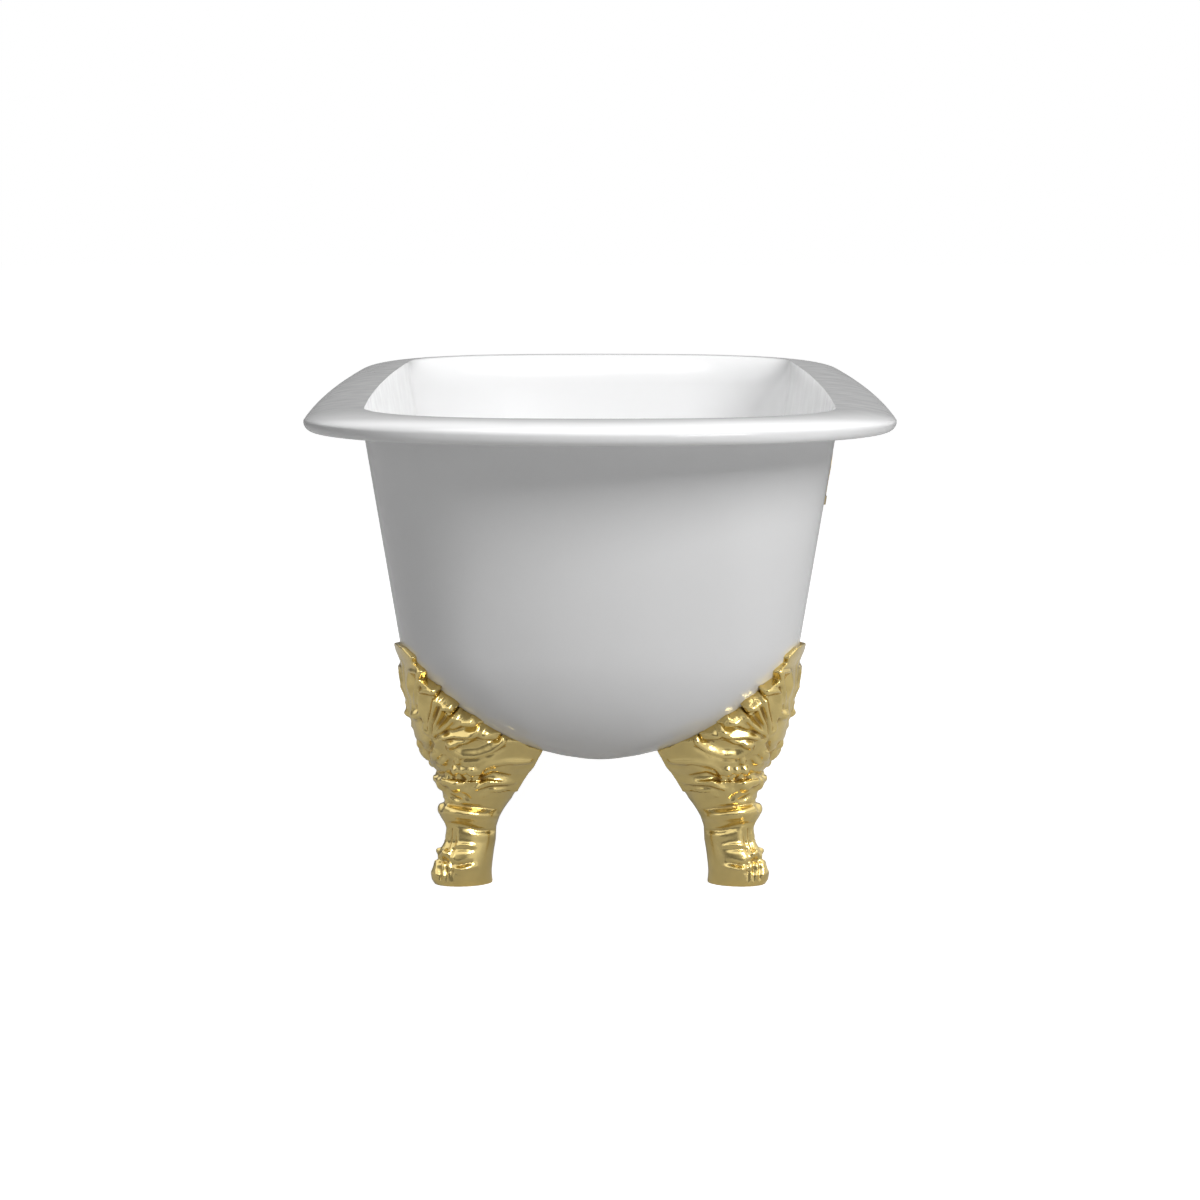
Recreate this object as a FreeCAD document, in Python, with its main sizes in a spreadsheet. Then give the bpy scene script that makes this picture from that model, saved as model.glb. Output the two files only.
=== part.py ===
import FreeCAD, Part
import Sketcher
import math
import os
import re

# A freestanding cast bathtub on four claw feet, with its pop-up waste and overflow.
# Millimetres. X is the width, Y the length, Z up. The origin is on the floor, midway
# between the feet. Both ends of the tub are alike.

Vector = FreeCAD.Vector
Z_AXIS = Vector(0, 0, 1)

doc = FreeCAD.newDocument("bathtub")
sheet = doc.addObject("Spreadsheet::Sheet", "Sizes")

SIZES = {
    # the tub's casting
    "overall_length": 1700,
    "overall_width": 750,
    "rim_height": 613,
    "bowl_depth": 447,
    "wall_depth": 300,
    "wall_thickness": 7,
    "side_taper": 9,
    "end_slope": 17.5,
    "end_roll": 60,
    "end_toe": 100,
    "side_bow": 17000,
    # the rolled rim
    "rim_width": 75,
    "rim_corner": 277,
    "rim_end_bow": 500,
    "rim_metal": 8,
    "deck_sag": 4,
    "lip_radius": 12,
    "lip_drop": 16,
    "well_corner": 205,
    "well_end_bow": 700,
    "floor_corner": 150,
    "floor_end_bow": 420,
    # the claw feet
    "foot_offset": 178,
    "foot_inset": 385,
    "foot_splay": 25,
    "foot_gap": 0.3,
    "paw_front": 39.5,
    "paw_back": 41,
    "paw_width": 66,
    "ankle_front": 18,
    "ankle_back": 48,
    "ankle_width": 55,
    "collar_front": 28,
    "collar_back": 55,
    "collar_width": 68,
    "knee_front": 26,
    "knee_back": 88,
    "knee_width": 100,
    "shield_front": 86,
    "shield_back": 86,
    "shield_middle": 55,
    "shield_width": 180,
    "shield_rise": 145,
    "shield_skew": 0.2,
    "shield_metal": 9,
    "back_inset": 26,
    "back_rise": 20,
    "hollow_drop": 14,
    "seat_drop": 8,
    "seat_metal": 10,
    "bolt_inset": 20,
    "boss_radius": 20,
    # the foot bolts
    "bolt_radius": 6,
    "bolt_length": 32,
    "bolt_head": 9,
    "bolt_head_height": 8,
    "washer_radius": 13,
    "washer_metal": 2.5,
    "thread_gap": 0.1,
    # the waste
    "drain_radius": 26,
    "seal_metal": 2,
    "seal_inset": 1,
    "flange_radius": 35,
    "flange_metal": 3,
    "flange_edge": 1,
    "flange_land": 2,
    "waste_tube_radius": 22,
    "waste_tube_bore": 19,
    "waste_tube_length": 34,
    "hub_radius": 7,
    "hub_height": 7,
    "hub_drop": 12,
    "spoke_width": 4,
    "spoke_height": 5,
    "overlap": 0.5,
    "gasket_metal": 4,
    "collar_radius": 38,
    "collar_metal": 4,
    "cup_radius": 28,
    "cup_wall": 3,
    "cup_depth": 66,
    "neck_depth": 20,
    "outlet_radius": 23.9,
    "outlet_bore": 20,
    "outlet_reach": 75,
    "outlet_lift": 2,
    "outlet_neck": 25.5,
    "outlet_shoulder": 30,
    # the pop-up plug
    "plug_radius": 30,
    "plug_height": 9,
    "plug_bevel": 2,
    "plug_gap": 0.3,
    "plug_seal_inner": 20,
    "plug_seal_outer": 27,
    "screw_radius": 3,
    "screw_length": 48,
    "screw_socket": 5,
    "slide_gap": 0.08,
    "locknut_radius": 5.5,
    "locknut_height": 4,
    "lever_reach": 18,
    "lever_metal": 4,
    "lever_width": 10,
    "lever_eye": 4,
    "pin_radius": 2,
    "pin_inset": 1,
    # the overflow
    "overflow_drop": 112,
    "overflow_hole": 24,
    "seat_gap": 0.05,
    "overflow_flange": 33,
    "chamber_radius": 26,
    "chamber_depth": 26,
    "chamber_wall": 3,
    "barrel_radius": 20,
    "barrel_bore": 17,
    "barrel_length": 20,
    "barrel_gap": 2,
    "knob_radius": 29,
    "knob_depth": 17,
    "knob_bevel": 4,
    "knob_front": 5,
    "knob_gap": 1,
    "grip_radius": 7,
    "grip_offset": 4.2,
    "spindle_radius": 4,
    "spindle_seat": 1,
    "bearing_depth": 2,
    "drum_radius": 12,
    "drum_width": 6,
    "drum_gap": 3,
    "grub_radius": 1.5,
    "grub_length": 11.6,
    "grub_inset": 5,
    # the overflow pipe and the cable
    "pipe_radius": 11,
    "pipe_wall": 1.5,
    "pipe_level": 20,
    "pipe_stand_off": 17,
    "pipe_bend": 60,
    "pipe_slant": 0.72,
    "socket_seat": 1,
    "socket_wall": 2.5,
    "socket_length": 14,
    "nut_wall": 4,
    "nut_length": 12,
    "cable_radius": 2.5,
    "cable_side": 18,
}

for row, (alias, value) in enumerate(SIZES.items(), start=1):
    sheet.set(f"A{row}", alias)
    sheet.set(f"B{row}", str(value))
    sheet.setAlias(f"B{row}", alias)
doc.recompute()


class Read:
    """The sheet's cells as plain numbers, one attribute for each alias."""

    def __getattr__(self, alias):
        return float(sheet.get(alias))


size = Read()


def bind(target, prop, words):
    """Tie one property to the sheet: each word that is an alias names its cell."""
    formula = re.sub(r"[a-z][a-z_]+", lambda m: f"Sizes.{m[0]}" if m[0] in SIZES else m[0], words)
    target.setExpression(prop, formula)


# ---------------------------------------------------------------- the tub's plan and levels

# The toe of the wall is part of an oval; it stops at this angle, where the level floor begins.
FLAT_ANGLE = 79
FLAT = math.sin(math.radians(FLAT_ANGLE))

# Where the wall's plans are taken: angles round the rolled end, shares of the straight wall, angles
# round the toe.
ROLL_ANGLES = (0, 12, 26, 42, 58)
WALL_SHARES = (0.2, 0.45, 0.72, 1.0)
TOE_ANGLES = (18, 34, 48, 60, 70, FLAT_ANGLE)

# The share of a plan's corner and end radii that is left where the toe has turned level, the most that
# a corner takes of the half width, and the least end radius as a share of the corner's.
CORNER_LEFT = 0.35
END_LEFT = 0.4
CORNER_MOST = 0.94
END_LEAST = 1.2

# The rim's section: shares of its width under the deck, angles round the lip, then angles and the power
# of the crown on top.
DECK_SHARES = (0.8, 0.6)
LIP_ANGLES = (-10, 35, 80, 125, 170)
CROWN_ANGLES = (8, 24, 42, 60, 76)
CROWN_POWER = 1.1


def corner_centre(half_width, half_length, corner, end_bow):
    """Centre of the corner arc that touches the bowed side and the bowed end."""
    side_x = half_width - size.side_bow
    end_y = half_length - end_bow
    to_side = size.side_bow - corner
    to_end = end_bow - corner
    apart = math.hypot(side_x, end_y)
    along = (to_side ** 2 - to_end ** 2 + apart ** 2) / (2 * apart)
    across = math.sqrt(max(to_side ** 2 - along ** 2, 0))
    ux = -side_x / apart
    uy = end_y / apart
    return side_x + along * ux - across * uy, along * uy + across * ux


def plan_arcs(half_width, half_length, corner, end_bow):
    """The three arcs of one quarter of the plan: centre, radius, first and last angle."""
    cx, cy = corner_centre(half_width, half_length, corner, end_bow)
    side_x = half_width - size.side_bow
    end_y = half_length - end_bow
    side_angle = math.atan2(cy, cx - side_x)
    end_angle = math.atan2(cy - end_y, cx)
    return [(side_x, 0, size.side_bow, 0, side_angle), (cx, cy, corner, side_angle, end_angle),
            (0, end_y, end_bow, end_angle, math.pi / 2)]


def whole_plan(quarter, level):
    """The whole plan from one quarter, mirrored across both middles."""
    turn = quarter + [(-x, y) for x, y in quarter[-2::-1]]
    turn += [(x, -y) for x, y in turn[-2:0:-1]]
    return [Vector(x, y, level) for x, y in turn]


def closed_curve(points):
    """A smooth closed wire through the points."""
    marks = [i / len(points) for i in range(len(points) + 1)]
    curve = Part.BSplineCurve()
    curve.interpolate(points, PeriodicFlag=True, Parameters=marks)
    return Part.Wire([curve.toShape()])


def spline_wire(plan, level, steps=12):
    """Closed smooth outline through points spaced evenly along the plan."""
    arcs = plan_arcs(*plan)
    lengths = [radius * (stop - start) for x, y, radius, start, stop in arcs]
    quarter = []
    for step in range(steps):
        along = sum(lengths) * step / steps
        for (x, y, radius, start, stop), length in zip(arcs, lengths):
            if along <= length:
                break
            along -= length
        angle = start + along / radius
        quarter.append((x + radius * math.cos(angle), y + radius * math.sin(angle)))
    return closed_curve(whole_plan(quarter + [(0, plan[1])], level))


def wall_levels():
    """Drops below the rim's crest at which the tub's plan is taken, down to the floor."""
    turned = size.end_roll * (1 - math.sin(math.radians(size.end_slope)))
    roll = [size.end_roll * (1 - math.cos(math.radians(angle))) for angle in ROLL_ANGLES]
    wall = [turned + (size.wall_depth - turned) * share for share in WALL_SHARES]
    bowl = size.bowl_depth - size.wall_thickness - size.wall_depth
    toe = [size.wall_depth + bowl * math.sin(math.radians(angle)) / FLAT for angle in TOE_ANGLES]
    return roll + [turned] + wall + toe


def inner_plan(drop):
    """Half width, half length, corner and end radius of the well at a drop below the crest."""
    tilt = math.radians(size.end_slope)
    bowl = size.bowl_depth - size.wall_thickness - size.wall_depth
    below = min(max(drop - size.wall_depth, 0) / bowl, 1) * FLAT
    round_in = math.sqrt(1 - below ** 2)
    half_width = size.overall_width / 2 - size.rim_width - drop * math.tan(math.radians(size.side_taper))
    crest_length = size.overall_length / 2 - size.rim_width
    turned = size.end_roll * (1 - math.sin(tilt))
    if drop < turned:
        rise = size.end_roll - drop
        half_length = crest_length - math.sqrt(size.end_roll ** 2 - rise ** 2)
    else:
        half_length = crest_length - size.end_roll * math.cos(tilt) - (drop - turned) * math.tan(tilt)
    half_length -= size.end_toe * (1 - round_in)
    share = min(drop / size.wall_depth, 1)
    corner = size.well_corner + (size.floor_corner - size.well_corner) * share
    end_bow = 1 / ((1 - share) / size.well_end_bow + share / size.floor_end_bow)
    half_width *= round_in
    corner = min(corner * (CORNER_LEFT + (1 - CORNER_LEFT) * round_in), CORNER_MOST * half_width)
    end_bow = max(end_bow * (END_LEFT + (1 - END_LEFT) * round_in), END_LEAST * corner)
    return half_width, half_length, corner, end_bow


def wall_loop(drop, grow=0.0):
    """One loop of the tub's wall: inside, or pushed out through the metal by grow."""
    tilt = math.radians(size.end_slope)
    bowl = size.bowl_depth - size.wall_thickness - size.wall_depth
    half_width, half_length, corner, end_bow = inner_plan(drop)
    steep = math.acos(max(1 - drop / size.end_roll, math.sin(tilt)))
    sink = max(drop - size.wall_depth, 0) / bowl
    spread = grow * math.sqrt(1 - sink ** 2)
    plan = (half_width + spread, half_length + spread * math.sin(steep), corner + spread, end_bow + spread)
    return spline_wire(plan, size.rim_height - drop - grow * max(math.cos(steep), sink))


def rim_loop(inset, drop):
    """One loop of the rim, between its outermost line and the well's mouth."""
    share = inset / size.rim_width
    plan = (size.overall_width / 2 - inset, size.overall_length / 2 - inset,
            size.rim_corner + (size.well_corner - size.rim_corner) * share,
            size.rim_end_bow + (size.well_end_bow - size.rim_end_bow) * share)
    return spline_wire(plan, size.rim_height - drop)


def rim_loops():
    """The rim's section from under the deck, round the lip and over to the well's mouth."""
    lip = size.lip_radius
    loops = []
    for share in DECK_SHARES:
        loops.append(rim_loop(size.rim_width * share, size.rim_metal + size.deck_sag * (1 - share)))
    for angle in LIP_ANGLES:
        turn = math.radians(angle)
        loops.append(rim_loop(lip * (1 + math.cos(turn)), size.lip_drop + lip * math.sin(turn)))
    for angle in CROWN_ANGLES:
        turn = math.radians(angle)
        inset = size.rim_width * (1 - math.cos(turn) ** CROWN_POWER)
        loops.append(rim_loop(inset, size.lip_drop * (1 - math.sin(turn) ** CROWN_POWER)))
    return loops + [rim_loop(size.rim_width, 0)]


def tub_loops():
    """The tub's loops from under its floor, up outside, round the rim and down to the floor inside."""
    levels = wall_levels()
    outside = [wall_loop(drop, size.wall_thickness) for drop in levels[:1:-1]]
    inside = [wall_loop(drop) for drop in levels[1:]]
    return outside + rim_loops() + inside


def tub_outside(grow):
    """The tub's outer form alone, grown by a little, to cut what stands against it."""
    loops = [wall_loop(drop, size.wall_thickness + grow) for drop in wall_levels()[:2:-1]]
    return Part.makeLoft(loops, True, True)


# ---------------------------------------------------------------- the claw feet

# The foot's back slopes out to the leaves from this share of the belly's level.
KNEE_SHARE = 0.69

# The leg's sections: a share of the belly's level, the two forms it lies between, and the share of the
# way from the first to the second.
LEG_STATIONS = [
    (0.0, "paw", "ankle", 0.25), (0.035, "paw", "ankle", 0.08), (0.09, "paw", "ankle", 0),
    (0.16, "paw", "ankle", 0.18), (0.25, "paw", "ankle", 0.5), (0.33, "paw", "ankle", 0.88),
    (0.43, "ankle", "paw", 0), (0.515, "ankle", "collar", 0.7), (0.555, "collar", "ankle", 0),
    (0.62, "ankle", "knee", 0.3), (0.675, "ankle", "knee", 0.45), (0.73, "ankle", "knee", 0.7),
    (0.79, "ankle", "knee", 0.88), (0.82, "knee", "ankle", 0)]

# The bracket's sections: a share of its rise above the belly, then how far it has spread from the knee
# to the leaf tips, forward and sideways.
SHIELD_STATIONS = [
    (-0.33, -0.13, -0.3), (-0.234, -0.07, -0.08), (-0.159, 0.03, 0.12), (-0.09, 0.18, 0.4),
    (-0.007, 0.22, 0.58), (0.062, 0.4, 0.75), (0.166, 0.57, 0.95), (0.248, 0.62, 1.05),
    (0.386, 0.71, 1.38), (0.49, 0.755, 1.65), (0.648, 0.84, 2.12), (0.82, 0.86, 2.75),
    (0.91, 0.95, 3.15), (1.05, 1.03, 3.75)]

# The lean of the bracket's flanks sets in at this share of its rise, over this much of it.
SKEW_FROM = -0.1
SKEW_OVER = 0.33

# The leaf edge: shares of the bracket's half width and of its rise, out to beyond both.
LEAF_TOP = [(0, 1.0), (0.3, 0.99)]
LEAF_TIPS = [(0.58, 0.93), (0.71, 0.81), (0.845, 0.655), (0.93, 0.505), (1.0, 0.37), (0.99, 0.26)]
LEAF_VALLEYS = [(0.52, 0.87), (0.60, 0.73), (0.72, 0.58), (0.80, 0.43), (0.87, 0.31), (0.86, 0.2)]
LEAF_ENDS = [(1.2, 0.15), (1.2, -1.0)]

belly = size.rim_height - size.bowl_depth
seat_level = belly - size.seat_drop


def slab(low, height):
    """A level slab, wide enough to cut across a whole foot or boss."""
    wide = 2 * size.overall_width
    return Part.makeBox(wide, wide, height, Vector(-wide / 2, -wide / 2, low))


def oval(front, back, half_width, level, skew=0.0, steps=16):
    """A level oval about the foot's upright line, leaning forward on its flank side by the skew."""
    middle = (front - back) / 2
    reach = (front + back) / 2
    points = []
    for step in range(steps):
        turn = 2 * math.pi * step / steps
        across = half_width * math.sin(turn)
        points.append(Vector(middle + reach * math.cos(turn) + skew * across, across, level))
    return closed_curve(points)


def foot_leg():
    """Paw, ankle, collar and knee as one solid leg, standing on the floor."""
    forms = {
        "paw": (size.paw_front, size.paw_back, size.paw_width / 2),
        "ankle": (size.ankle_front, size.ankle_back, size.ankle_width / 2),
        "collar": (size.collar_front, size.collar_back, size.collar_width / 2),
        "knee": (size.knee_front, size.knee_back, size.knee_width / 2),
    }
    loops = []
    for height, one, other, share in LEG_STATIONS:
        sizes = [p + (q - p) * share for p, q in zip(forms[one], forms[other])]
        loops.append(oval(*sizes, belly * height))
    return Part.makeLoft(loops, True, True)


def shield_form(inset):
    """The hollow bracket above the knee: ovals that spread from the knee to the leaf tips."""
    grow = size.shield_front - size.knee_front
    spread = (size.shield_width - size.knee_width) / 2
    loops = []
    for height, forward, wide in SHIELD_STATIONS:
        front = size.knee_front + grow * forward - inset
        half_width = size.knee_width / 2 + spread * wide - inset
        skew = size.shield_skew * min(max((height - SKEW_FROM) / SKEW_OVER, 0), 1)
        level = belly + size.shield_rise * height
        loops.append(oval(front, front + 2 * size.shield_middle, half_width, level, skew))
    return Part.makeLoft(loops, True, True)


def leaf_outline():
    """A thick slab whose upper edge is the row of leaf tips, mirrored about the foot's middle."""
    edge = list(LEAF_TOP)
    for tip, valley in zip(LEAF_TIPS, LEAF_VALLEYS):
        edge += [tip, valley]
    half = size.shield_width / 2
    reach = 2 * size.shield_back
    points = [Vector(-reach, across * half, belly + up * size.shield_rise) for across, up in edge + LEAF_ENDS]
    mirrored = [Vector(p.x, -p.y, p.z) for p in points[:0:-1]]
    outline = Part.makePolygon(points + mirrored + points[:1])
    return Part.Face(outline).extrude(Vector(2 * reach, 0, 0))


def back_keep():
    """What lies in front of the foot's back: upright below the knee, then sloping out to the leaves."""
    behind = -size.knee_back + size.back_inset
    above = size.rim_height
    corners = [(-size.shield_back, belly + size.back_rise), (behind, belly * KNEE_SHARE), (behind, -above),
               (above, -above), (above, above), (-size.shield_back, above)]
    outline = Part.makePolygon([Vector(x, -size.shield_width, z) for x, z in corners + corners[:1]])
    return Part.Face(outline).extrude(Vector(0, 2 * size.shield_width, 0))


def foot_solid(outside):
    """One claw foot in its own frame: X outward, the paw's middle over the origin."""
    seat_bottom = seat_level - size.seat_metal
    shield = shield_form(0).common(leaf_outline())
    hollow = shield_form(size.shield_metal).common(slab(seat_bottom - size.hollow_drop, size.rim_height))
    seat = shield_form(1).common(slab(seat_bottom, size.seat_metal))
    head_room = size.washer_metal + size.bolt_head_height + size.foot_gap
    room = Part.makeCylinder(size.washer_radius + size.foot_gap, head_room,
                             Vector(-size.bolt_inset, 0, seat_bottom - head_room))
    foot = foot_leg().cut(room).fuse([shield.cut(hollow), seat]).common(back_keep())
    bolt = Part.makeCylinder(size.bolt_radius + size.foot_gap, 3 * size.seat_metal,
                             Vector(-size.bolt_inset, 0, seat_bottom - size.seat_metal))
    return foot.cut([bolt, outside])


# ---------------------------------------------------------------- helpers for turned and drilled pieces

ALONG = {
    "Z": FreeCAD.Rotation(),
    "X": FreeCAD.Rotation(Vector(0, 1, 0), 90),
    "Y": FreeCAD.Rotation(Vector(1, 0, 0), -90),
}


def stand(piece, at, along="Z"):
    """Turn a primitive and bind the place of its base to the sheet."""
    piece.Placement = FreeCAD.Placement(Vector(), ALONG[along])
    for letter, words in zip("xyz", at):
        bind(piece, f"Placement.Base.{letter}", words)
    return piece


def cylinder(radius, height, at=("0", "0", "0"), along="Z"):
    """A round bar or hole, from its base along one axis."""
    piece = doc.addObject("Part::Cylinder", "Round")
    bind(piece, "Radius", radius)
    bind(piece, "Height", height)
    return stand(piece, at, along)


def box(length, width, height, at):
    """A square-edged bar, from its lowest corner."""
    piece = doc.addObject("Part::Box", "Block")
    for prop, words in (("Length", length), ("Width", width), ("Height", height)):
        bind(piece, prop, words)
    return stand(piece, at)


def hexagon(radius, height, at=("0", "0", "0")):
    """A six-sided bar, from its base up."""
    piece = doc.addObject("Part::Prism", "Hexagon")
    piece.Polygon = 6
    bind(piece, "Circumradius", radius)
    bind(piece, "Height", height)
    return stand(piece, at)


def joined(*pieces):
    """Several pieces made one."""
    result = doc.addObject("Part::MultiFuse", "Joined")
    result.Shapes = list(pieces)
    return result


def drilled(base, *tools):
    """A piece with every tool cut out of it."""
    result = doc.addObject("Part::Cut", "Drilled")
    result.Base = base
    result.Tool = tools[0] if len(tools) == 1 else joined(*tools)
    return result


def ring(outer, inner, height, at=("0", "0", "0"), along="Z"):
    """A plain ring, by its two radii."""
    return drilled(cylinder(outer, height, at, along), cylinder(inner, height, at, along))


def turned(name, outline, at, along="Z"):
    """A body turned about its own Z: each corner of the outline is a radius and a height.

    The sketch starts as a rough chain of lines, which its constraints then pull to the corners.
    """
    body = doc.addObject("PartDesign::Body", name)
    sketch = body.newObject("Sketcher::SketchObject", name + "_outline")
    plane = next(item for item in body.Origin.OriginFeatures if item.Role == "XZ_Plane")
    sketch.AttachmentSupport = [(plane, "")]
    sketch.MapMode = "FlatFace"
    guess = [Vector(10 + 5 * (i % 3), 3 * i, 0) for i in range(len(outline))]
    for i, start in enumerate(guess):
        sketch.addGeometry(Part.LineSegment(start, guess[(i + 1) % len(guess)]), False)
    for i in range(len(outline)):
        sketch.addConstraint(Sketcher.Constraint("Coincident", i, 2, (i + 1) % len(outline), 1))
    for i, (radius, height) in enumerate(outline):
        for words, kind, axis in ((radius, "DistanceX", -2), (height, "DistanceY", -1)):
            if words == "0":
                sketch.addConstraint(Sketcher.Constraint("PointOnObject", i, 1, axis))
            else:
                row = sketch.addConstraint(Sketcher.Constraint(kind, -1, 1, i, 1, 10.0))
                bind(sketch, f"Constraints[{row}]", words)
    turn = body.newObject("PartDesign::Revolution", name + "_turn")
    turn.Profile = sketch
    turn.ReferenceAxis = (sketch, ["V_Axis"])
    turn.Angle = 360
    body.Tip = turn
    return stand(body, at, along)


def solid(shape):
    """An object that holds a shape worked out above, for castings and bent tubes."""
    piece = doc.addObject("Part::Feature", "Casting")
    piece.Shape = shape
    return piece


PARTS = {}


def finish(name, piece, frame=None):
    """Give a sub-part its name and, where it was made in a frame of its own, its place."""
    if frame is not None:
        if piece.TypeId == "Part::Cylinder":
            held = doc.addObject("Part::Compound", "Held")
            held.Links = [piece]
            piece = held
        piece.Placement = frame
    piece.Label = name
    PARTS[name] = piece


# ---------------------------------------------------------------- frames and levels

BELLY = "(rim_height - bowl_depth)"
FLOOR = "(rim_height - bowl_depth + wall_thickness)"
MOUTH = "(rim_height - bowl_depth + wall_thickness + seal_metal + flange_metal)"
CUP = "(rim_height - bowl_depth - gasket_metal - cup_depth)"

taper = math.radians(size.side_taper)
lowered = size.wall_thickness * math.sin(math.radians(size.end_slope))
overflow_x = inner_plan(size.overflow_drop - lowered)[0] + size.wall_thickness
side_skin = (overflow_x - inner_plan(size.overflow_drop)[0]) * math.cos(taper)
OVERFLOW = FreeCAD.Placement(Vector(overflow_x, 0, size.rim_height - size.overflow_drop),
                             FreeCAD.Rotation(Vector(0, 1, 0), size.side_taper))
FEET = {"front_left": (1, 1), "front_right": (-1, 1), "back_left": (1, -1), "back_right": (-1, -1)}
FOOT = FreeCAD.Placement(Vector(-size.foot_offset, size.foot_inset - size.overall_length / 2, 0),
                         FreeCAD.Rotation(Z_AXIS, 180 + size.foot_splay))


def at_each_foot(shape):
    """Four copies of a piece made at the front left foot, mirrored to the other three."""
    copies = []
    for across, along in FEET.values():
        copy = shape
        if across < 0:
            copy = copy.mirror(Vector(), Vector(1, 0, 0))
        if along < 0:
            copy = copy.mirror(Vector(), Vector(0, 1, 0))
        copies.append(copy)
    return copies


# ---------------------------------------------------------------- the tub

bolt_place = FOOT.multVec(Vector(-size.bolt_inset, 0, 0))


def tub_shell():
    """The casting: rim, walls and floor, a boss over each foot, and two holes."""
    casting = Part.makeLoft(tub_loops(), True, True)
    under_boss = Vector(bolt_place.x, bolt_place.y, seat_level)
    boss = Part.makeCylinder(size.boss_radius, size.wall_depth - seat_level, under_boss)
    middle_loops = [wall_loop(drop, size.wall_thickness / 2) for drop in wall_levels()[:5:-1]]
    boss = boss.cut(Part.makeLoft(middle_loops, True, True))
    casting = casting.fuse(at_each_foot(boss))
    thread_length = size.bolt_length - size.seat_metal - size.washer_metal
    thread = Part.makeCylinder(size.bolt_radius + size.thread_gap, thread_length, under_boss)
    under_drain = Vector(0, 0, belly - size.wall_thickness)
    drain = Part.makeCylinder(size.drain_radius, 4 * size.wall_thickness, under_drain)
    inward = Vector(-4 * size.wall_thickness, 0, 0)
    overflow = Part.makeCylinder(size.overflow_hole, 6 * size.wall_thickness, inward, Vector(1, 0, 0))
    overflow.Placement = OVERFLOW
    return casting.cut(at_each_foot(thread) + [drain, overflow])


finish("tub_shell", solid(tub_shell()))

# ---------------------------------------------------------------- the feet and their bolts

outside = tub_outside(size.foot_gap)
outside.Placement = FOOT.inverse()
foot = foot_solid(outside)
foot.Placement = FOOT
for side, copy in zip(FEET, at_each_foot(foot)):
    finish(f"foot_{side}", solid(copy))

head_level = seat_level - size.seat_metal - size.washer_metal
head_top = Vector(0, 0, head_level)
washer = Part.makeCylinder(size.washer_radius, size.washer_metal, head_top)
washer = washer.cut(Part.makeCylinder(size.bolt_radius + size.foot_gap, size.washer_metal, head_top))
head_corners = []
for corner in range(7):
    turn = math.radians(60 * corner)
    head_corners.append(Vector(size.bolt_head * math.cos(turn), size.bolt_head * math.sin(turn),
                               head_level - size.bolt_head_height))
bolt = Part.Face(Part.makePolygon(head_corners)).extrude(Vector(0, 0, size.bolt_head_height))
bolt = bolt.fuse(Part.makeCylinder(size.bolt_radius, size.bolt_length, head_top))
for name, fixing in (("foot_washers", washer), ("foot_bolts", bolt)):
    fixing.translate(Vector(bolt_place.x, bolt_place.y, 0))
    finish(name, solid(Part.Compound(at_each_foot(fixing))))

# ---------------------------------------------------------------- the waste

TUBE = f"({FLOOR} + seal_metal - waste_tube_length)"
strainer = turned("strainer", [
    ("waste_tube_bore", "0"),
    ("waste_tube_radius", "0"),
    ("waste_tube_radius", "waste_tube_length"),
    ("flange_radius", "waste_tube_length"),
    ("flange_radius", "waste_tube_length + flange_edge"),
    ("plug_seal_outer + flange_land", "waste_tube_length + flange_metal"),
    ("waste_tube_bore", "waste_tube_length + flange_metal"),
], ("0", "0", TUBE))
HUB = f"({MOUTH} - hub_drop)"
spokes = [
    box("2 * waste_tube_bore + 2 * overlap", "spoke_width", "spoke_height",
        ("0 - waste_tube_bore - overlap", "0 - spoke_width / 2", HUB)),
    box("spoke_width", "2 * waste_tube_bore + 2 * overlap", "spoke_height",
        ("0 - spoke_width / 2", "0 - waste_tube_bore - overlap", HUB)),
]
hub = cylinder("hub_radius", "hub_height", ("0", "0", HUB))
hub_hole = cylinder("screw_radius + slide_gap", "hub_height", ("0", "0", HUB))
finish("waste_flange", drilled(joined(strainer, hub, *spokes), hub_hole))
finish("waste_seal", ring("flange_radius - seal_inset", "drain_radius", "seal_metal", ("0", "0", FLOOR)))
GASKET = ("0", "0", f"{BELLY} - gasket_metal")
finish("waste_gasket", ring("collar_radius - seal_inset", "drain_radius", "gasket_metal", GASKET))

cup = turned("cup", [
    ("0", "0"),
    ("cup_radius", "0"),
    ("cup_radius", "cup_depth - collar_metal"),
    ("collar_radius", "cup_depth - collar_metal"),
    ("collar_radius", "cup_depth"),
    ("0", "cup_depth"),
], ("0", "0", CUP))
cup_core = turned("cup_core", [
    ("0", "cup_wall"),
    ("cup_radius - cup_wall", "cup_wall"),
    ("cup_radius - cup_wall", "cup_depth - neck_depth"),
    ("waste_tube_radius + thread_gap", "cup_depth - neck_depth"),
    ("waste_tube_radius + thread_gap", "cup_depth + overlap"),
    ("0", "cup_depth + overlap"),
], ("0", "0", CUP))
OUTLET = f"({CUP} + outlet_radius + outlet_lift)"
PIPE = f"({CUP} + pipe_level)"
OUTLET_BASE = ("0", "cup_wall", OUTLET)
outlet = cylinder("outlet_radius", "outlet_reach - cup_radius + cup_wall",
                  ("0", "cup_radius - cup_wall", OUTLET), "Y")
neck = cylinder("outlet_neck", "outlet_shoulder - cup_wall", OUTLET_BASE, "Y")
outlet_bore = cylinder("outlet_bore", "outlet_reach", OUTLET_BASE, "Y")
socket = cylinder("pipe_radius + socket_wall", "socket_length + cup_wall",
                  ("cup_radius - cup_wall", "0", PIPE), "X")
socket_bore = cylinder("pipe_radius + thread_gap", "socket_length + cup_wall",
                       ("cup_radius - socket_seat", "0", PIPE), "X")
port = cylinder("pipe_radius - pipe_wall", "cup_radius", ("cup_wall", "0", PIPE), "X")
PIN = f"({MOUTH} + seal_metal + screw_socket - screw_length - lever_metal / 2)"
HALF_PIN = "(sqrt(cup_radius * cup_radius - lever_reach * lever_reach) - pin_inset)"
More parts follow.
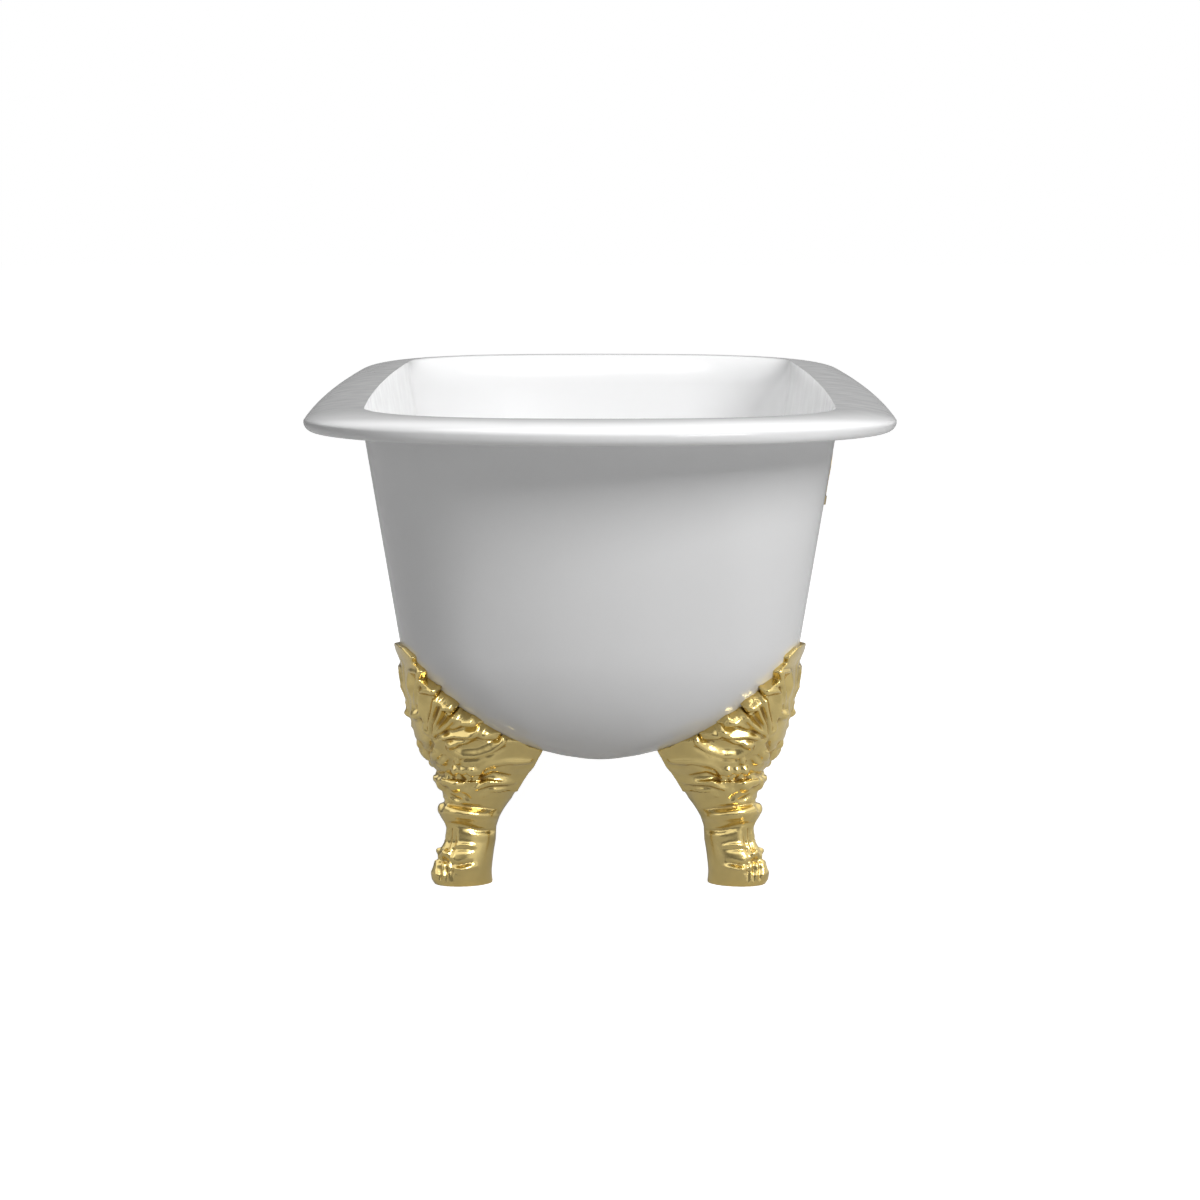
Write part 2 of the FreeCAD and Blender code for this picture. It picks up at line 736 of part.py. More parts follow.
pin_hole = cylinder("pin_radius", f"cup_radius + {HALF_PIN}", ("lever_reach", "0 - cup_radius", PIN), "Y")
waste = joined(cup, outlet, neck, socket)
finish("waste_body", drilled(waste, cup_core, outlet_bore, socket_bore, port, pin_hole))

# ---------------------------------------------------------------- the pop-up plug and its lift

PLUG = f"({MOUTH} + plug_gap + seal_metal)"
dome = turned("dome", [
    ("0", "0"),
    ("plug_radius - plug_bevel", "0"),
    ("plug_radius", "plug_bevel"),
    ("plug_radius - plug_bevel / 2", "plug_height / 2"),
    ("plug_radius * 0.7", "plug_height * 0.85"),
    ("plug_radius * 0.35", "plug_height"),
    ("0", "plug_height"),
], ("0", "0", PLUG))
finish("plug", drilled(dome, cylinder("screw_radius", "screw_socket", ("0", "0", PLUG))))
UNDER_PLUG = ("0", "0", f"{PLUG} - seal_metal")
finish("plug_seal", ring("plug_seal_outer", "plug_seal_inner", "seal_metal", UNDER_PLUG))
SCREW = ("0", "0", f"{PLUG} + screw_socket - screw_length")
finish("plug_screw", cylinder("screw_radius", "screw_length", SCREW))
LOCKNUT = ("0", "0", f"{PLUG} - locknut_height")
locknut_hole = cylinder("screw_radius", "locknut_height", LOCKNUT)
finish("plug_locknut", drilled(hexagon("locknut_radius", "locknut_height", LOCKNUT), locknut_hole))
arm = box("lever_reach + screw_radius", "lever_width", "lever_metal",
          ("0 - screw_radius", "0 - lever_width / 2", f"{PIN} - lever_metal / 2"))
EYE = ("lever_reach", "0 - lever_width / 2", PIN)
eye = cylinder("lever_eye", "lever_width", EYE, "Y")
eye_hole = cylinder("pin_radius + slide_gap", "lever_width", EYE, "Y")
finish("lift_lever", drilled(joined(arm, eye), eye_hole))
PIN_BASE = ("lever_reach", f"0 - {HALF_PIN}", PIN)
finish("lever_pin", cylinder("pin_radius", f"2 * {HALF_PIN}", PIN_BASE, "Y"))

# ---------------------------------------------------------------- the overflow, square to the side wall

INSIDE = f"(0 - {side_skin} - seat_gap - seal_metal)"
BEHIND = ("seat_gap", "0", "0")
BEFORE = (INSIDE, "0", "0")
gasket = ring("overflow_flange - seal_inset", "overflow_hole", "chamber_wall - seat_gap", BEHIND, "X")
finish("overflow_gasket", gasket, OVERFLOW)
seal = ring("overflow_flange - seal_inset", "overflow_hole", "seal_metal", BEFORE, "X")
finish("overflow_seal", seal, OVERFLOW)

chamber = turned("chamber", [
    ("barrel_radius + thread_gap", "0"),
    ("overflow_flange", "0"),
    ("overflow_flange", "chamber_wall"),
    ("chamber_radius", "chamber_wall"),
    ("chamber_radius", "chamber_depth"),
    ("0", "chamber_depth"),
    ("0", "chamber_depth - chamber_wall"),
    ("chamber_radius - chamber_wall", "chamber_depth - chamber_wall"),
    ("chamber_radius - chamber_wall", "barrel_length / 2"),
    ("barrel_radius + thread_gap", "barrel_length / 2"),
], ("chamber_wall", "0", "0"), "X")
SPIGOT = ("pipe_stand_off", "0", "0 - chamber_radius - socket_length")
spigot = cylinder("pipe_radius + socket_wall", "chamber_radius + socket_length", SPIGOT)
spigot_bore = cylinder("pipe_radius + thread_gap", "socket_length", SPIGOT)
THROAT = ("pipe_stand_off", "0", "0 - chamber_radius")
throat = cylinder("pipe_radius - pipe_wall", "chamber_radius", THROAT)
chamber_core = cylinder("chamber_radius - chamber_wall", "chamber_depth - chamber_wall - barrel_length / 2",
                        ("chamber_wall + barrel_length / 2", "0", "0"), "X")
barrel_way = cylinder("barrel_radius + thread_gap", "chamber_depth / 2", ("chamber_wall", "0", "0"), "X")
bearing = cylinder("spindle_radius + slide_gap", "bearing_depth", ("chamber_depth - overlap", "0", "0"), "X")
ways = [spigot_bore, throat, chamber_core, barrel_way, bearing]
finish("overflow_body", drilled(joined(chamber, spigot), *ways), OVERFLOW)

FACE = f"({INSIDE} - flange_metal)"
FRONT = (FACE, "0", "0")
face = ring("overflow_flange", "barrel_bore", "flange_metal", FRONT, "X")
barrel = ring("barrel_radius", "barrel_bore", f"barrel_length - barrel_gap - {INSIDE}", BEFORE, "X")
bridge = box("flange_metal", "2 * barrel_bore + 2 * overlap", "spoke_width",
             (FACE, "0 - barrel_bore - overlap", "0 - spoke_width / 2"))
boss = cylinder("hub_radius", "flange_metal", FRONT, "X")
boss_hole = cylinder("spindle_radius + slide_gap", "flange_metal", FRONT, "X")
finish("overflow_face", drilled(joined(face, barrel, bridge, boss), boss_hole), OVERFLOW)

KNOB = f"({FACE} - knob_gap - knob_depth)"
knob = turned("knob", [
    ("0", "0"),
    ("knob_radius - knob_bevel", "0"),
    ("knob_radius", "knob_bevel"),
    ("knob_radius", "knob_depth"),
    ("0", "knob_depth"),
], (KNOB, "0", "0"), "X")
grips = []
for turn in range(0, 360, 60):
    across = f"(knob_radius + grip_offset) * cos({turn})"
    upward = f"(knob_radius + grip_offset) * sin({turn})"
    grips.append(cylinder("grip_radius", "knob_depth", (KNOB, across, upward), "X"))
SPINDLE = (f"{KNOB} + knob_front", "0", "0")
spindle_hole = cylinder("spindle_radius", "knob_depth - knob_front", SPINDLE, "X")
GRUB = f"({KNOB} + knob_depth - grub_inset)"
grub_hole = cylinder("grub_radius", "knob_radius", (GRUB, "0", "0"))
finish("overflow_knob", drilled(knob, spindle_hole, grub_hole, *grips), OVERFLOW)
spindle_length = f"chamber_depth + spindle_seat - {KNOB} - knob_front"
finish("knob_spindle", cylinder("spindle_radius", spindle_length, SPINDLE, "X"), OVERFLOW)
finish("knob_screw", cylinder("grub_radius", "grub_length", (GRUB, "0", "spindle_radius")), OVERFLOW)
DRUM = ("chamber_wall + barrel_length / 2 + drum_gap", "0", "0")
finish("cable_drum", ring("drum_radius", "spindle_radius", "drum_width", DRUM, "X"), OVERFLOW)

# ---------------------------------------------------------------- the overflow pipe and the cable beside it

cup_base = Vector(0, 0, belly - size.gasket_metal - size.cup_depth)
low_level = cup_base.z + size.pipe_level
pipe_top = OVERFLOW.multVec(Vector(size.pipe_stand_off, 0, -size.chamber_radius))
pipe_start = Vector(size.cup_radius - size.socket_seat, 0, low_level)
knee_level = size.rim_height - size.wall_depth - size.pipe_bend
knee = Vector(pipe_top.x - (pipe_top.z - knee_level) * math.tan(taper), 0, knee_level)
elbow = Vector(knee.x - (knee_level - low_level) * size.pipe_slant, 0, low_level)


def bent_path(start, first, second, stop, bend):
    """Straight runs joined by two arcs of one radius."""
    corners = [start, first, second, stop]
    edges = []
    last = start
    for before, corner, after in zip(corners, corners[1:], corners[2:]):
        inward = (before - corner).normalize()
        outward = (after - corner).normalize()
        half = math.acos(max(-1, min(1, inward.dot(outward)))) / 2
        leg = bend / math.tan(half)
        first_touch = corner + inward * leg
        second_touch = corner + outward * leg
        centre = corner + (inward + outward).normalize() * (bend / math.sin(half))
        middle = centre + (corner - centre).normalize() * bend
        edges += [Part.makeLine(last, first_touch), Part.Arc(first_touch, middle, second_touch).toShape()]
        last = second_touch
    return Part.Wire(edges + [Part.makeLine(last, stop)])


def tube(path, radius):
    """A round bar that follows the path."""
    start = path.Edges[0].valueAt(path.Edges[0].FirstParameter)
    ahead = path.Edges[0].tangentAt(path.Edges[0].FirstParameter)
    return path.makePipeShell([Part.Wire([Part.makeCircle(radius, start, ahead)])], True, True)


route = bent_path(pipe_start, elbow, knee, pipe_top, size.pipe_bend)
pipe = tube(route, size.pipe_radius).cut(tube(route, size.pipe_radius - size.pipe_wall))
finish("overflow_pipe", solid(pipe))

upward = OVERFLOW.Rotation.multVec(Z_AXIS)
low_end = Vector(size.cup_radius + size.socket_length, 0, low_level)
top_end = OVERFLOW.multVec(Vector(size.pipe_stand_off, 0, -size.chamber_radius - size.socket_length))


def both_ends(outer, length, offset):
    """One ring on each end of the pipe, as far from the socket's face as offset says."""
    inner = size.pipe_radius + size.thread_gap
    rings = []
    for start, away in ((low_end, Vector(1, 0, 0)), (top_end, upward * -1)):
        base = start + away * offset
        hole = Part.makeCylinder(inner, length, base, away)
        rings.append(Part.makeCylinder(outer, length, base, away).cut(hole))
    return Part.Compound(rings)


finish("pipe_seals", solid(both_ends(size.pipe_radius + size.socket_wall, size.seal_metal, 0)))
finish("pipe_nuts", solid(both_ends(size.pipe_radius + size.nut_wall, size.nut_length, size.seal_metal)))

cable_top = OVERFLOW.multVec(Vector(size.pipe_stand_off, 0, 0))
cable_start = Vector(size.cup_radius / 2, 0, low_level)
cable_route = bent_path(cable_start, elbow, knee, cable_top, size.pipe_bend)
cable_route.translate(Vector(0, size.cable_side, 0))
cup_round = Part.makeCylinder(size.cup_radius, size.cup_depth, cup_base)
neck_base = cup_base + Vector(0, 0, size.outlet_radius + size.outlet_lift)
neck_radius = size.outlet_neck + size.thread_gap
neck_round = Part.makeCylinder(neck_radius, size.outlet_shoulder, neck_base, Vector(0, 1, 0))
chamber_round = Part.makeCylinder(size.chamber_radius, 3 * size.chamber_depth, Vector(), Vector(1, 0, 0))
chamber_round.Placement = OVERFLOW
cable = tube(cable_route, size.cable_radius).cut([cup_round, neck_round, chamber_round])
finish("pull_cable", solid(cable))

# ---------------------------------------------------------------- check and write

doc.recompute()
for piece in doc.Objects:
    if "Invalid" in piece.State or "Error" in piece.State:
        raise RuntimeError(f"{piece.Label} failed: {piece.State}")
os.makedirs("parts", exist_ok=True)
for name, piece in PARTS.items():
    shape = piece.Shape
    if shape.isNull() or not shape.isValid() or not shape.Solids:
        raise RuntimeError(f"{name} has no sound solid")
    shape.exportStep(f"parts/{name}.step")
    print(name, len(shape.Solids), round(shape.Volume / 1000, 1))
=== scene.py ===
import math

import bmesh
import bpy
import numpy as np
from bpy.props import FloatProperty, FloatVectorProperty, IntProperty, PointerProperty
from mathutils import Matrix, Vector
from mathutils.bvhtree import BVHTree


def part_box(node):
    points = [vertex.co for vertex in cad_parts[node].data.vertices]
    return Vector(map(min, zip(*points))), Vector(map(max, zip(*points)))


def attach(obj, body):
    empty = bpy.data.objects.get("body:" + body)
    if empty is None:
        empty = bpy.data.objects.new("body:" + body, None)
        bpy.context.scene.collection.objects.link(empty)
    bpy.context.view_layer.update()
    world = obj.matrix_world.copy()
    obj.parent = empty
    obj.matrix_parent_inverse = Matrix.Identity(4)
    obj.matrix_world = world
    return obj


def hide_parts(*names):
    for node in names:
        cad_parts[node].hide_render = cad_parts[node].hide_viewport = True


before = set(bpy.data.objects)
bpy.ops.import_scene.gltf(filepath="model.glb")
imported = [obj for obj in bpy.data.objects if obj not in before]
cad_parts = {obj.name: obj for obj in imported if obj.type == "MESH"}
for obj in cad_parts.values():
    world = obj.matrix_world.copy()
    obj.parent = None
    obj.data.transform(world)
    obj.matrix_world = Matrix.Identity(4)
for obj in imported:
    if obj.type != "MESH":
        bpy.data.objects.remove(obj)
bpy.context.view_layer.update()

bl_info = {
    "name": "Clawfoot bathtub",
    "version": (1, 0, 0),
    "blender": (4, 5, 0),
    "location": "3D View > Sidebar > Bathtub",
    "description": "An enamelled tub on four cast claw feet, with its pop-up waste and overflow",
    "category": "Add Mesh",
}

# Each foot, and how the near left one is mirrored to make it, across and along the tub.
FEET = {"front_left": (1, 1), "front_right": (-1, 1), "back_left": (1, -1), "back_right": (-1, -1)}


# -------------------- sizes and colours that a user changes

def metres(name, description, length):
    """A size in metres."""
    return FloatProperty(name=name, description=description, default=length, unit="LENGTH")


def degrees(name, description, angle):
    """An angle."""
    return FloatProperty(name=name, description=description, default=math.radians(angle), subtype="ANGLE")


def paint(name, description, colour):
    """A colour."""
    return FloatVectorProperty(name=name, description=description, subtype="COLOR", size=3, default=colour)


class TubSizes(bpy.types.PropertyGroup):
    """The form of the casting. Both ends are alike."""
    length: metres("Length", "Over the rim", 1.7)
    width: metres("Width", "Over the rim", 0.75)
    height: metres("Height", "Floor to the crest of the rim", 0.613)
    bowl_depth: metres("Bowl depth", "Crest to underside", 0.447)
    wall_depth: metres("Wall depth", "Crest to where the floor's curve starts", 0.3)
    metal: metres("Metal", "Thickness of the wall", 0.007)
    side_taper: degrees("Side taper", "Lean of the side walls", 9)
    end_slope: degrees("End slope", "Lean of the end walls", 17.5)
    end_roll: metres("End roll", "Radius where the rim turns into an end wall", 0.06)
    end_toe: metres("End toe", "How far the ends draw in under the wall", 0.1)
    side_bow: metres("Side bow", "Radius of the nearly straight sides", 17.0)
    rim_width: metres("Rim width", "Lip to well", 0.075)
    rim_corner: metres("Rim corner", "Corner radius of the rim", 0.277)
    rim_end_bow: metres("Rim end bow", "Radius of the rim's ends", 0.5)
    rim_metal: metres("Rim metal", "Thickness of the rim", 0.008)
    lip_radius: metres("Lip radius", "Radius of the rolled lip", 0.012)
    lip_drop: metres("Lip drop", "Crest to the lip's middle", 0.016)
    well_corner: metres("Well corner", "Corner radius of the well's mouth", 0.205)
    well_end_bow: metres("Well end bow", "End radius of the well's mouth", 0.7)
    floor_corner: metres("Floor corner", "Corner radius low in the well", 0.15)
    floor_end_bow: metres("Floor end bow", "End radius low in the well", 0.42)
    drain_radius: metres("Drain radius", "Hole for the waste", 0.026)
    overflow_hole: metres("Overflow hole", "Radius", 0.024)
    overflow_drop: metres("Overflow drop", "Crest to the overflow", 0.112)
    boss_radius: metres("Boss radius", "Seats for the feet", 0.02)
    points_round: IntProperty(name="Points round", description="Faces round the tub, a multiple of four",
                              default=352)
    enamel: paint("Enamel", "Colour of the enamel", (0.9, 0.902, 0.905))


class FootSizes(bpy.types.PropertyGroup):
    """Where the claw feet stand and how deep their casting is cut."""
    offset: metres("Offset", "Middle of the tub to the foot, crosswise", 0.178)
    reach: metres("Reach", "Middle of the tub to the foot, lengthwise", 0.465)
    splay: degrees("Splay", "Turn of the foot from square", 25)
    grain: metres("Grain", "Spacing of the casting's faces", 0.00145)
    relief: FloatProperty(name="Relief", description="Scale of the carving's depth", default=1.9)
    brass: paint("Brass", "Polished brass of the feet", (0.74, 0.58, 0.24))
    # Painted shade with some tarnish: this darker colour fills the carving's hollows, where shade falls.
    hollow_shade_and_tarnish: paint("Brass hollows", "Tarnish in the carving", (0.24, 0.13, 0.03))


class FittingColours(bpy.types.PropertyGroup):
    """Colours of the waste, the overflow and what joins them."""
    trim: paint("Trim", "Brass of the waste and overflow", (0.62, 0.48, 0.22))
    pipe: paint("Pipe", "Duller brass of the hidden pipes", (0.52, 0.41, 0.20))
    steel: paint("Steel", "Bolts, washers and screws", (0.56, 0.57, 0.58))
    rubber: paint("Rubber", "Seals and gaskets", (0.035, 0.035, 0.037))


class StageSettings(bpy.types.PropertyGroup):
    """Camera, floor and lamps."""
    distance: metres("Distance", "Camera from the tub's middle", 5.1903)
    eye: metres("Eye height", "Camera above the floor", 0.9061)
    pitch: degrees("Pitch", "Camera tilt below level", 6.559)
    lens: FloatProperty(name="Lens", description="Focal length in mm on a 36 mm sensor", default=112.72)
    floor: paint("Floor", "Colour of the floor", (0.5, 0.5, 0.5))
    key: FloatProperty(name="Key lamp", description="Watts", default=100.0)
    fill: FloatProperty(name="Fill lamp", description="Watts", default=6.0)
    top: FloatProperty(name="Top lamp", description="Watts", default=62.0)
    sky: FloatProperty(name="Sky", description="Strength of the room's light", default=0.15)


# -------------------- helpers for meshes and nodes

def link(name, mesh):
    """A new object on the scene that holds this mesh."""
    piece = bpy.data.objects.new(name, mesh)
    bpy.context.scene.collection.objects.link(piece)
    return piece


def mesh_from(name, points, faces):
    """A mesh from a list of points and faces."""
    mesh = bpy.data.meshes.new(name)
    mesh.from_pydata([tuple(p) for p in points], [], faces)
    mesh.update()
    return mesh


def apply_modifiers(piece):
    """The piece's modifiers applied to its mesh and taken off."""
    graph = bpy.context.evaluated_depsgraph_get()
    graph.update()
    made = bpy.data.meshes.new_from_object(piece.evaluated_get(graph))
    piece.modifiers.clear()
    piece.data = made


def outward(mesh, merge=1e-6):
    """Doubles merged and every face turned to point out."""
    work = bmesh.new()
    work.from_mesh(mesh)
    bmesh.ops.remove_doubles(work, verts=work.verts, dist=merge)
    bmesh.ops.recalc_face_normals(work, faces=work.faces)
    work.to_mesh(mesh)
    work.free()


def smooth(piece, angle=None):
    """Smooth shading, with edges sharper than the angle kept crisp."""
    mesh = piece.data
    mesh.polygons.foreach_set("use_smooth", [True] * len(mesh.polygons))
    if angle is not None:
        mesh.set_sharp_from_angle(angle=angle)
    mesh.update()
    return piece


def positions(mesh):
    """The mesh's points as an array."""
    flat = np.zeros(len(mesh.vertices) * 3)
    mesh.vertices.foreach_get("co", flat)
    return flat.reshape(-1, 3)


def normals(mesh):
    """The mesh's point normals as an array."""
    flat = np.zeros(len(mesh.vertices) * 3, np.float32)
    mesh.vertex_normals.foreach_get("vector", flat)
    return flat.reshape(-1, 3).astype(float)


def place(mesh, points):
    """Writes the points back."""
    mesh.vertices.foreach_set("co", np.asarray(points, np.float32).ravel())
    mesh.update()


def neighbour_mean(mesh, values, rounds=1):
    """Values averaged along the edges, a few times over."""
    ends = np.zeros(len(mesh.edges) * 2, np.int32)
    mesh.edges.foreach_get("vertices", ends)
    one, other = ends.reshape(-1, 2).T
    count = np.bincount(np.concatenate([one, other]), minlength=len(mesh.vertices)).astype(float)
    count = np.maximum(count, 1)
    if values.ndim == 2:
        count = count[:, None]
    for _ in range(rounds):
        total = np.zeros_like(values)
        np.add.at(total, one, values[other])
        np.add.at(total, other, values[one])
        values = total / count
    return values


def step_between(low, high, values):
    """Smooth step from 0 at low to 1 at high."""
    share = np.clip((values - low) / (high - low), 0, 1)
    return share * share * (3 - 2 * share)


def lerp(one, other, share):
    """One number where the share is 0, the other where it is 1."""
    return one + (other - one) * share


def feed(tree, node, inputs):
    """Links or sets these inputs of a node."""
    for label, value in inputs.items():
        value = getattr(value, "socket", value)
        if isinstance(value, bpy.types.NodeSocket):
            tree.links.new(value, node.inputs[label])
        else:
            node.inputs[label].default_value = value


def new_node(tree, kind, inputs=None, **settings):
    """A new node with these settings and inputs."""
    node = tree.nodes.new(kind)
    for label, value in settings.items():
        setattr(node, label, value)
    feed(tree, node, inputs or {})
    return node


def math_method(operation):
    """A method of Sums: a Math node of this kind on the sum itself and what it is given."""
    return lambda self, *others: self.made(operation, self, *others)


class Sums:
    """Numbers in a node tree, written as sums. Each one is a socket that gives a value."""

    def __init__(self, tree, socket):
        self.tree = tree
        self.socket = socket

    def made(self, operation, *values):
        """A Math node on these values."""
        node = new_node(self.tree, "ShaderNodeMath", dict(enumerate(values)), operation=operation)
        return Sums(self.tree, node.outputs[0])

    def __rsub__(self, other):
        return self.made("SUBTRACT", other, self)

    __add__ = math_method("ADD")
    __sub__ = math_method("SUBTRACT")
    __mul__ = math_method("MULTIPLY")
    __truediv__ = math_method("DIVIDE")
    root = math_method("SQRT")
    cos = math_method("COSINE")
    sin = math_method("SINE")
    floor = math_method("FLOOR")
    absolute = math_method("ABSOLUTE")
    modulo = math_method("FLOORED_MODULO")
    # The angle with this rise and the other's run; 1 where this is less, else 0; the larger of the two.
    angle_to = math_method("ARCTAN2")
    below = math_method("LESS_THAN")
    most = math_method("MAXIMUM")

    def rising(self, start, over):
        """0 up to the start, then up to 1 over a stretch."""
        return self.made("MINIMUM", ((self - start) / over).most(0.0), 1.0)

    def mixed(self, other, share):
        """This where the share is 0, the other where it is 1."""
        return self + (other - self) * share


def new_tree(name, sockets):
    """A geometry node tree with named inputs, its input node and its output node."""
    tree = bpy.data.node_groups.new(name, "GeometryNodeTree")
    tree.interface.new_socket("Geometry", in_out="INPUT", socket_type="NodeSocketGeometry")
    for label, kind in sockets:
        tree.interface.new_socket(label, in_out="INPUT", socket_type="NodeSocket" + kind)
    tree.interface.new_socket("Geometry", in_out="OUTPUT", socket_type="NodeSocketGeometry")
    return tree, tree.nodes.new("NodeGroupInput"), tree.nodes.new("NodeGroupOutput")


def ending(tree, geometry, material, output):
    """Realize Instances and Set Material, then the tree's output."""
    real = new_node(tree, "GeometryNodeRealizeInstances", {"Geometry": geometry})
    done = new_node(tree, "GeometryNodeSetMaterial", {
        "Geometry": real.outputs["Geometry"], "Material": material})
    feed(tree, output, {"Geometry": done.outputs["Geometry"]})


def grow(piece, tree, values):
    """The tree's result, with these inputs, made the piece's plain mesh."""
    modifier = piece.modifiers.new("Nodes", "NODES")
    modifier.node_group = tree
    for item in tree.interface.items_tree:
        if item.item_type == "SOCKET" and item.in_out == "INPUT" and item.name in values:
            modifier[item.identifier] = values[item.name]
    apply_modifiers(piece)


# -------------------- materials

# The part of a noise texture's range that most of its values fall in.
NOISE_LOW, NOISE_HIGH = 0.3, 0.7


def new_material(name, metallic=0.0):
    """A material with a bare Principled shader."""
    material = bpy.data.materials.new(name)
    material.use_nodes = True
    shader = material.node_tree.nodes["Principled BSDF"]
    shader.inputs["Metallic"].default_value = metallic
    return material, material.node_tree, shader


def pattern(tree, scale, detail=3.0, kind="ShaderNodeTexNoise", stretch=(1, 1, 1)):
    """A procedural pattern on the object's own coordinates."""
    where = new_node(tree, "ShaderNodeTexCoord").outputs["Object"]
    mapping = new_node(tree, "ShaderNodeMapping", {"Vector": where, "Scale": stretch})
    texture = new_node(tree, kind, {"Vector": mapping.outputs["Vector"], "Scale": scale})
    if "Detail" in texture.inputs:
        texture.inputs["Detail"].default_value = detail
    return texture.outputs[0]


def blend(tree, share, dark, light):
    """The dark colour where the share is 0, the light one where it is 1."""
    mix = new_node(tree, "ShaderNodeMix", {"Factor": share, "A": dark, "B": light}, data_type="RGBA")
    return mix.outputs["Result"]


def ramp(tree, source, low, high, dark, light):
    """The source's range from low to high turned to values or colours from dark to light."""
    numbers = isinstance(dark, float)
    span = {"To Min": dark, "To Max": light} if numbers else {}
    share = new_node(tree, "ShaderNodeMapRange", {
        "Value": source, "From Min": low, "From Max": high, **span}).outputs["Result"]
    return share if numbers else blend(tree, share, (*dark, 1), (*light, 1))


def clouded(tree, scale, dark, light):
    """Values or colours that wander from dark to light over the surface."""
    return ramp(tree, pattern(tree, scale), NOISE_LOW, NOISE_HIGH, dark, light)


def bump(tree, shader, source, height, strength=1.0):
    """The source as fine relief, its height in metres."""
    node = new_node(tree, "ShaderNodeBump", {"Strength": strength, "Distance": height, "Height": source})
    feed(tree, shader, {"Normal": node.outputs["Normal"]})


def tinted(colour, share):
    """The colour made lighter or darker by a share."""
    return tuple(min(c * share, 1) for c in colour)


def enamel_material(colour):
    """Fired white enamel: glossy, with the slight waviness of the casting under it."""
    material, tree, shader = new_material("enamel")
    feed(tree, shader, {
        "Base Color": clouded(tree, 3.0, tinted(colour, 0.985), tinted(colour, 1.01)),
        "Roughness": clouded(tree, 26.0, 0.10, 0.16),
        "IOR": 1.52, "Specular IOR Level": 0.12, "Coat Weight": 0.35, "Coat Roughness": 0.03})
    bump(tree, shader, pattern(tree, 34.0, 1.0), 0.00008, 0.3)
    return material


def cast_brass_material(colour, hollow):
    """Polished cast brass. The carving's hollows, kept in an attribute, are darkened with painted shade and
    some tarnish.
    """
    material, tree, shader = new_material("foot_brass", 1.0)
    # The hollow attribute mixes the base colour towards the hollow colour: painted shade in the carving, with
    # some tarnish.
    tarnish_and_shade = new_node(tree, "ShaderNodeAttribute", attribute_name="hollow").outputs["Fac"]
    polished = clouded(tree, 55.0, tinted(colour, 0.94), tinted(colour, 1.05))
    feed(tree, shader, {
        "Base Color": blend(tree, tarnish_and_shade, polished, (*hollow, 1)),
        "Roughness": ramp(tree, tarnish_and_shade, 0.0, 1.0, 0.2, 0.42)})
    bump(tree, shader, pattern(tree, 260.0, 2.0), 0.00006, 0.5)
    return material


def turned_brass_material(name, colour, rough):
    """Machined brass with faint tool marks and fingerprints."""
    material, tree, shader = new_material(name, 1.0)
    feed(tree, shader, {
        "Base Color": clouded(tree, 45.0, tinted(colour, 0.9), tinted(colour, 1.06)),
        "Roughness": clouded(tree, 120.0, rough * 0.8, rough * 1.3)})
    bump(tree, shader, pattern(tree, 900.0, 2.0, stretch=(1, 1, 6)), 0.00004, 0.4)
    return material


def steel_material(colour):
    """Zinc-plated steel, spangled, brushed and a little dull."""
    material, tree, shader = new_material("bolt_steel", 1.0)
    spangle = pattern(tree, 160.0, kind="ShaderNodeTexVoronoi")
    feed(tree, shader, {
        "Base Color": ramp(tree, spangle, 0.0, 0.8, tinted(colour, 0.82), tinted(colour, 1.08)),
        "Roughness": clouded(tree, 220.0, 0.28, 0.46)})
    bump(tree, shader, pattern(tree, 700.0, 2.0, stretch=(1, 1, 8)), 0.00005, 0.5)
    return material


def rubber_material(name, colour, grain):
    """Moulded black rubber or plastic with a matt skin."""
    material, tree, shader = new_material(name)
    feed(tree, shader, {
        "Base Color": clouded(tree, 80.0, tinted(colour, 0.8), tinted(colour, 1.4)),
        "Roughness": clouded(tree, 200.0, 0.55, 0.75), "Specular IOR Level": 0.4})
    bump(tree, shader, pattern(tree, grain, 2.0), 0.0001, 0.6)
    return material


def lifted_rays(tree, plain, gloss):
    """One strength for rays from the camera or through glass, one for gloss, and none for the rest."""
    rays = new_node(tree, "ShaderNodeLightPath")
    seen, through, glossy = (Sums(tree, rays.outputs[f"Is {kind} Ray"])
                             for kind in ("Camera", "Transmission", "Glossy"))
    return (seen.most(through) * plain).most(glossy * gloss)


def floor_material(colour):
    """A pale studio floor. The camera and the metal see it lifted towards white; its shadows stay."""
    material, tree, shader = new_material("studio_floor")
    feed(tree, shader, {
        "Base Color": clouded(tree, 2.0, tinted(colour, 0.995), colour),
        "Roughness": 0.9, "Specular IOR Level": 0.0})
    glow = new_node(tree, "ShaderNodeEmission", {"Strength": lifted_rays(tree, 0.93, 0.2)})
    total = new_node(tree, "ShaderNodeAddShader", {0: shader.outputs["BSDF"], 1: glow.outputs["Emission"]})
    feed(tree, tree.nodes["Material Output"], {"Surface": total.outputs["Shader"]})
    return material


def studio_gloss(tree):
    """What polished surfaces see of the studio: pale, brighter where its soft boxes hang."""
    where = new_node(tree, "ShaderNodeTexCoord").outputs["Generated"]
    apart = new_node(tree, "ShaderNodeSeparateXYZ", {"Vector": where})
    across, up = (Sums(tree, apart.outputs[axis]) for axis in "XZ")
    overhead = up.rising(0.28, 0.25)
    right = across.rising(0.25, 0.3) * (1 - up.rising(0.1, 0.5))
    left = (across * -1).rising(0.72, 0.15) * (1 - up.rising(0.05, 0.4))
    return overhead * 1.05 + right * 0.75 + left * 0.35 + 0.2


# -------------------- the tub

# The floor's curve turns this far in from the wall before it is flat, and how far in that is.
FLAT_ANGLE = math.radians(79)
FLAT = math.sin(FLAT_ANGLE)
# Rows of the section: degrees round the roll, rows down the wall, rows round the toe.
ROLL_ANGLES = range(0, 72, 6)
WALL_ROWS = 12
TOE_ROWS = 14
# Under the wall the corners and end bows tighten to these shares of their radius. A corner is at most this
# share of the half width, and an end bow at least this share of the corner.
CORNER_LEFT, END_LEFT = 0.35, 0.4
CORNER_MOST, END_LEAST = 0.94, 1.2
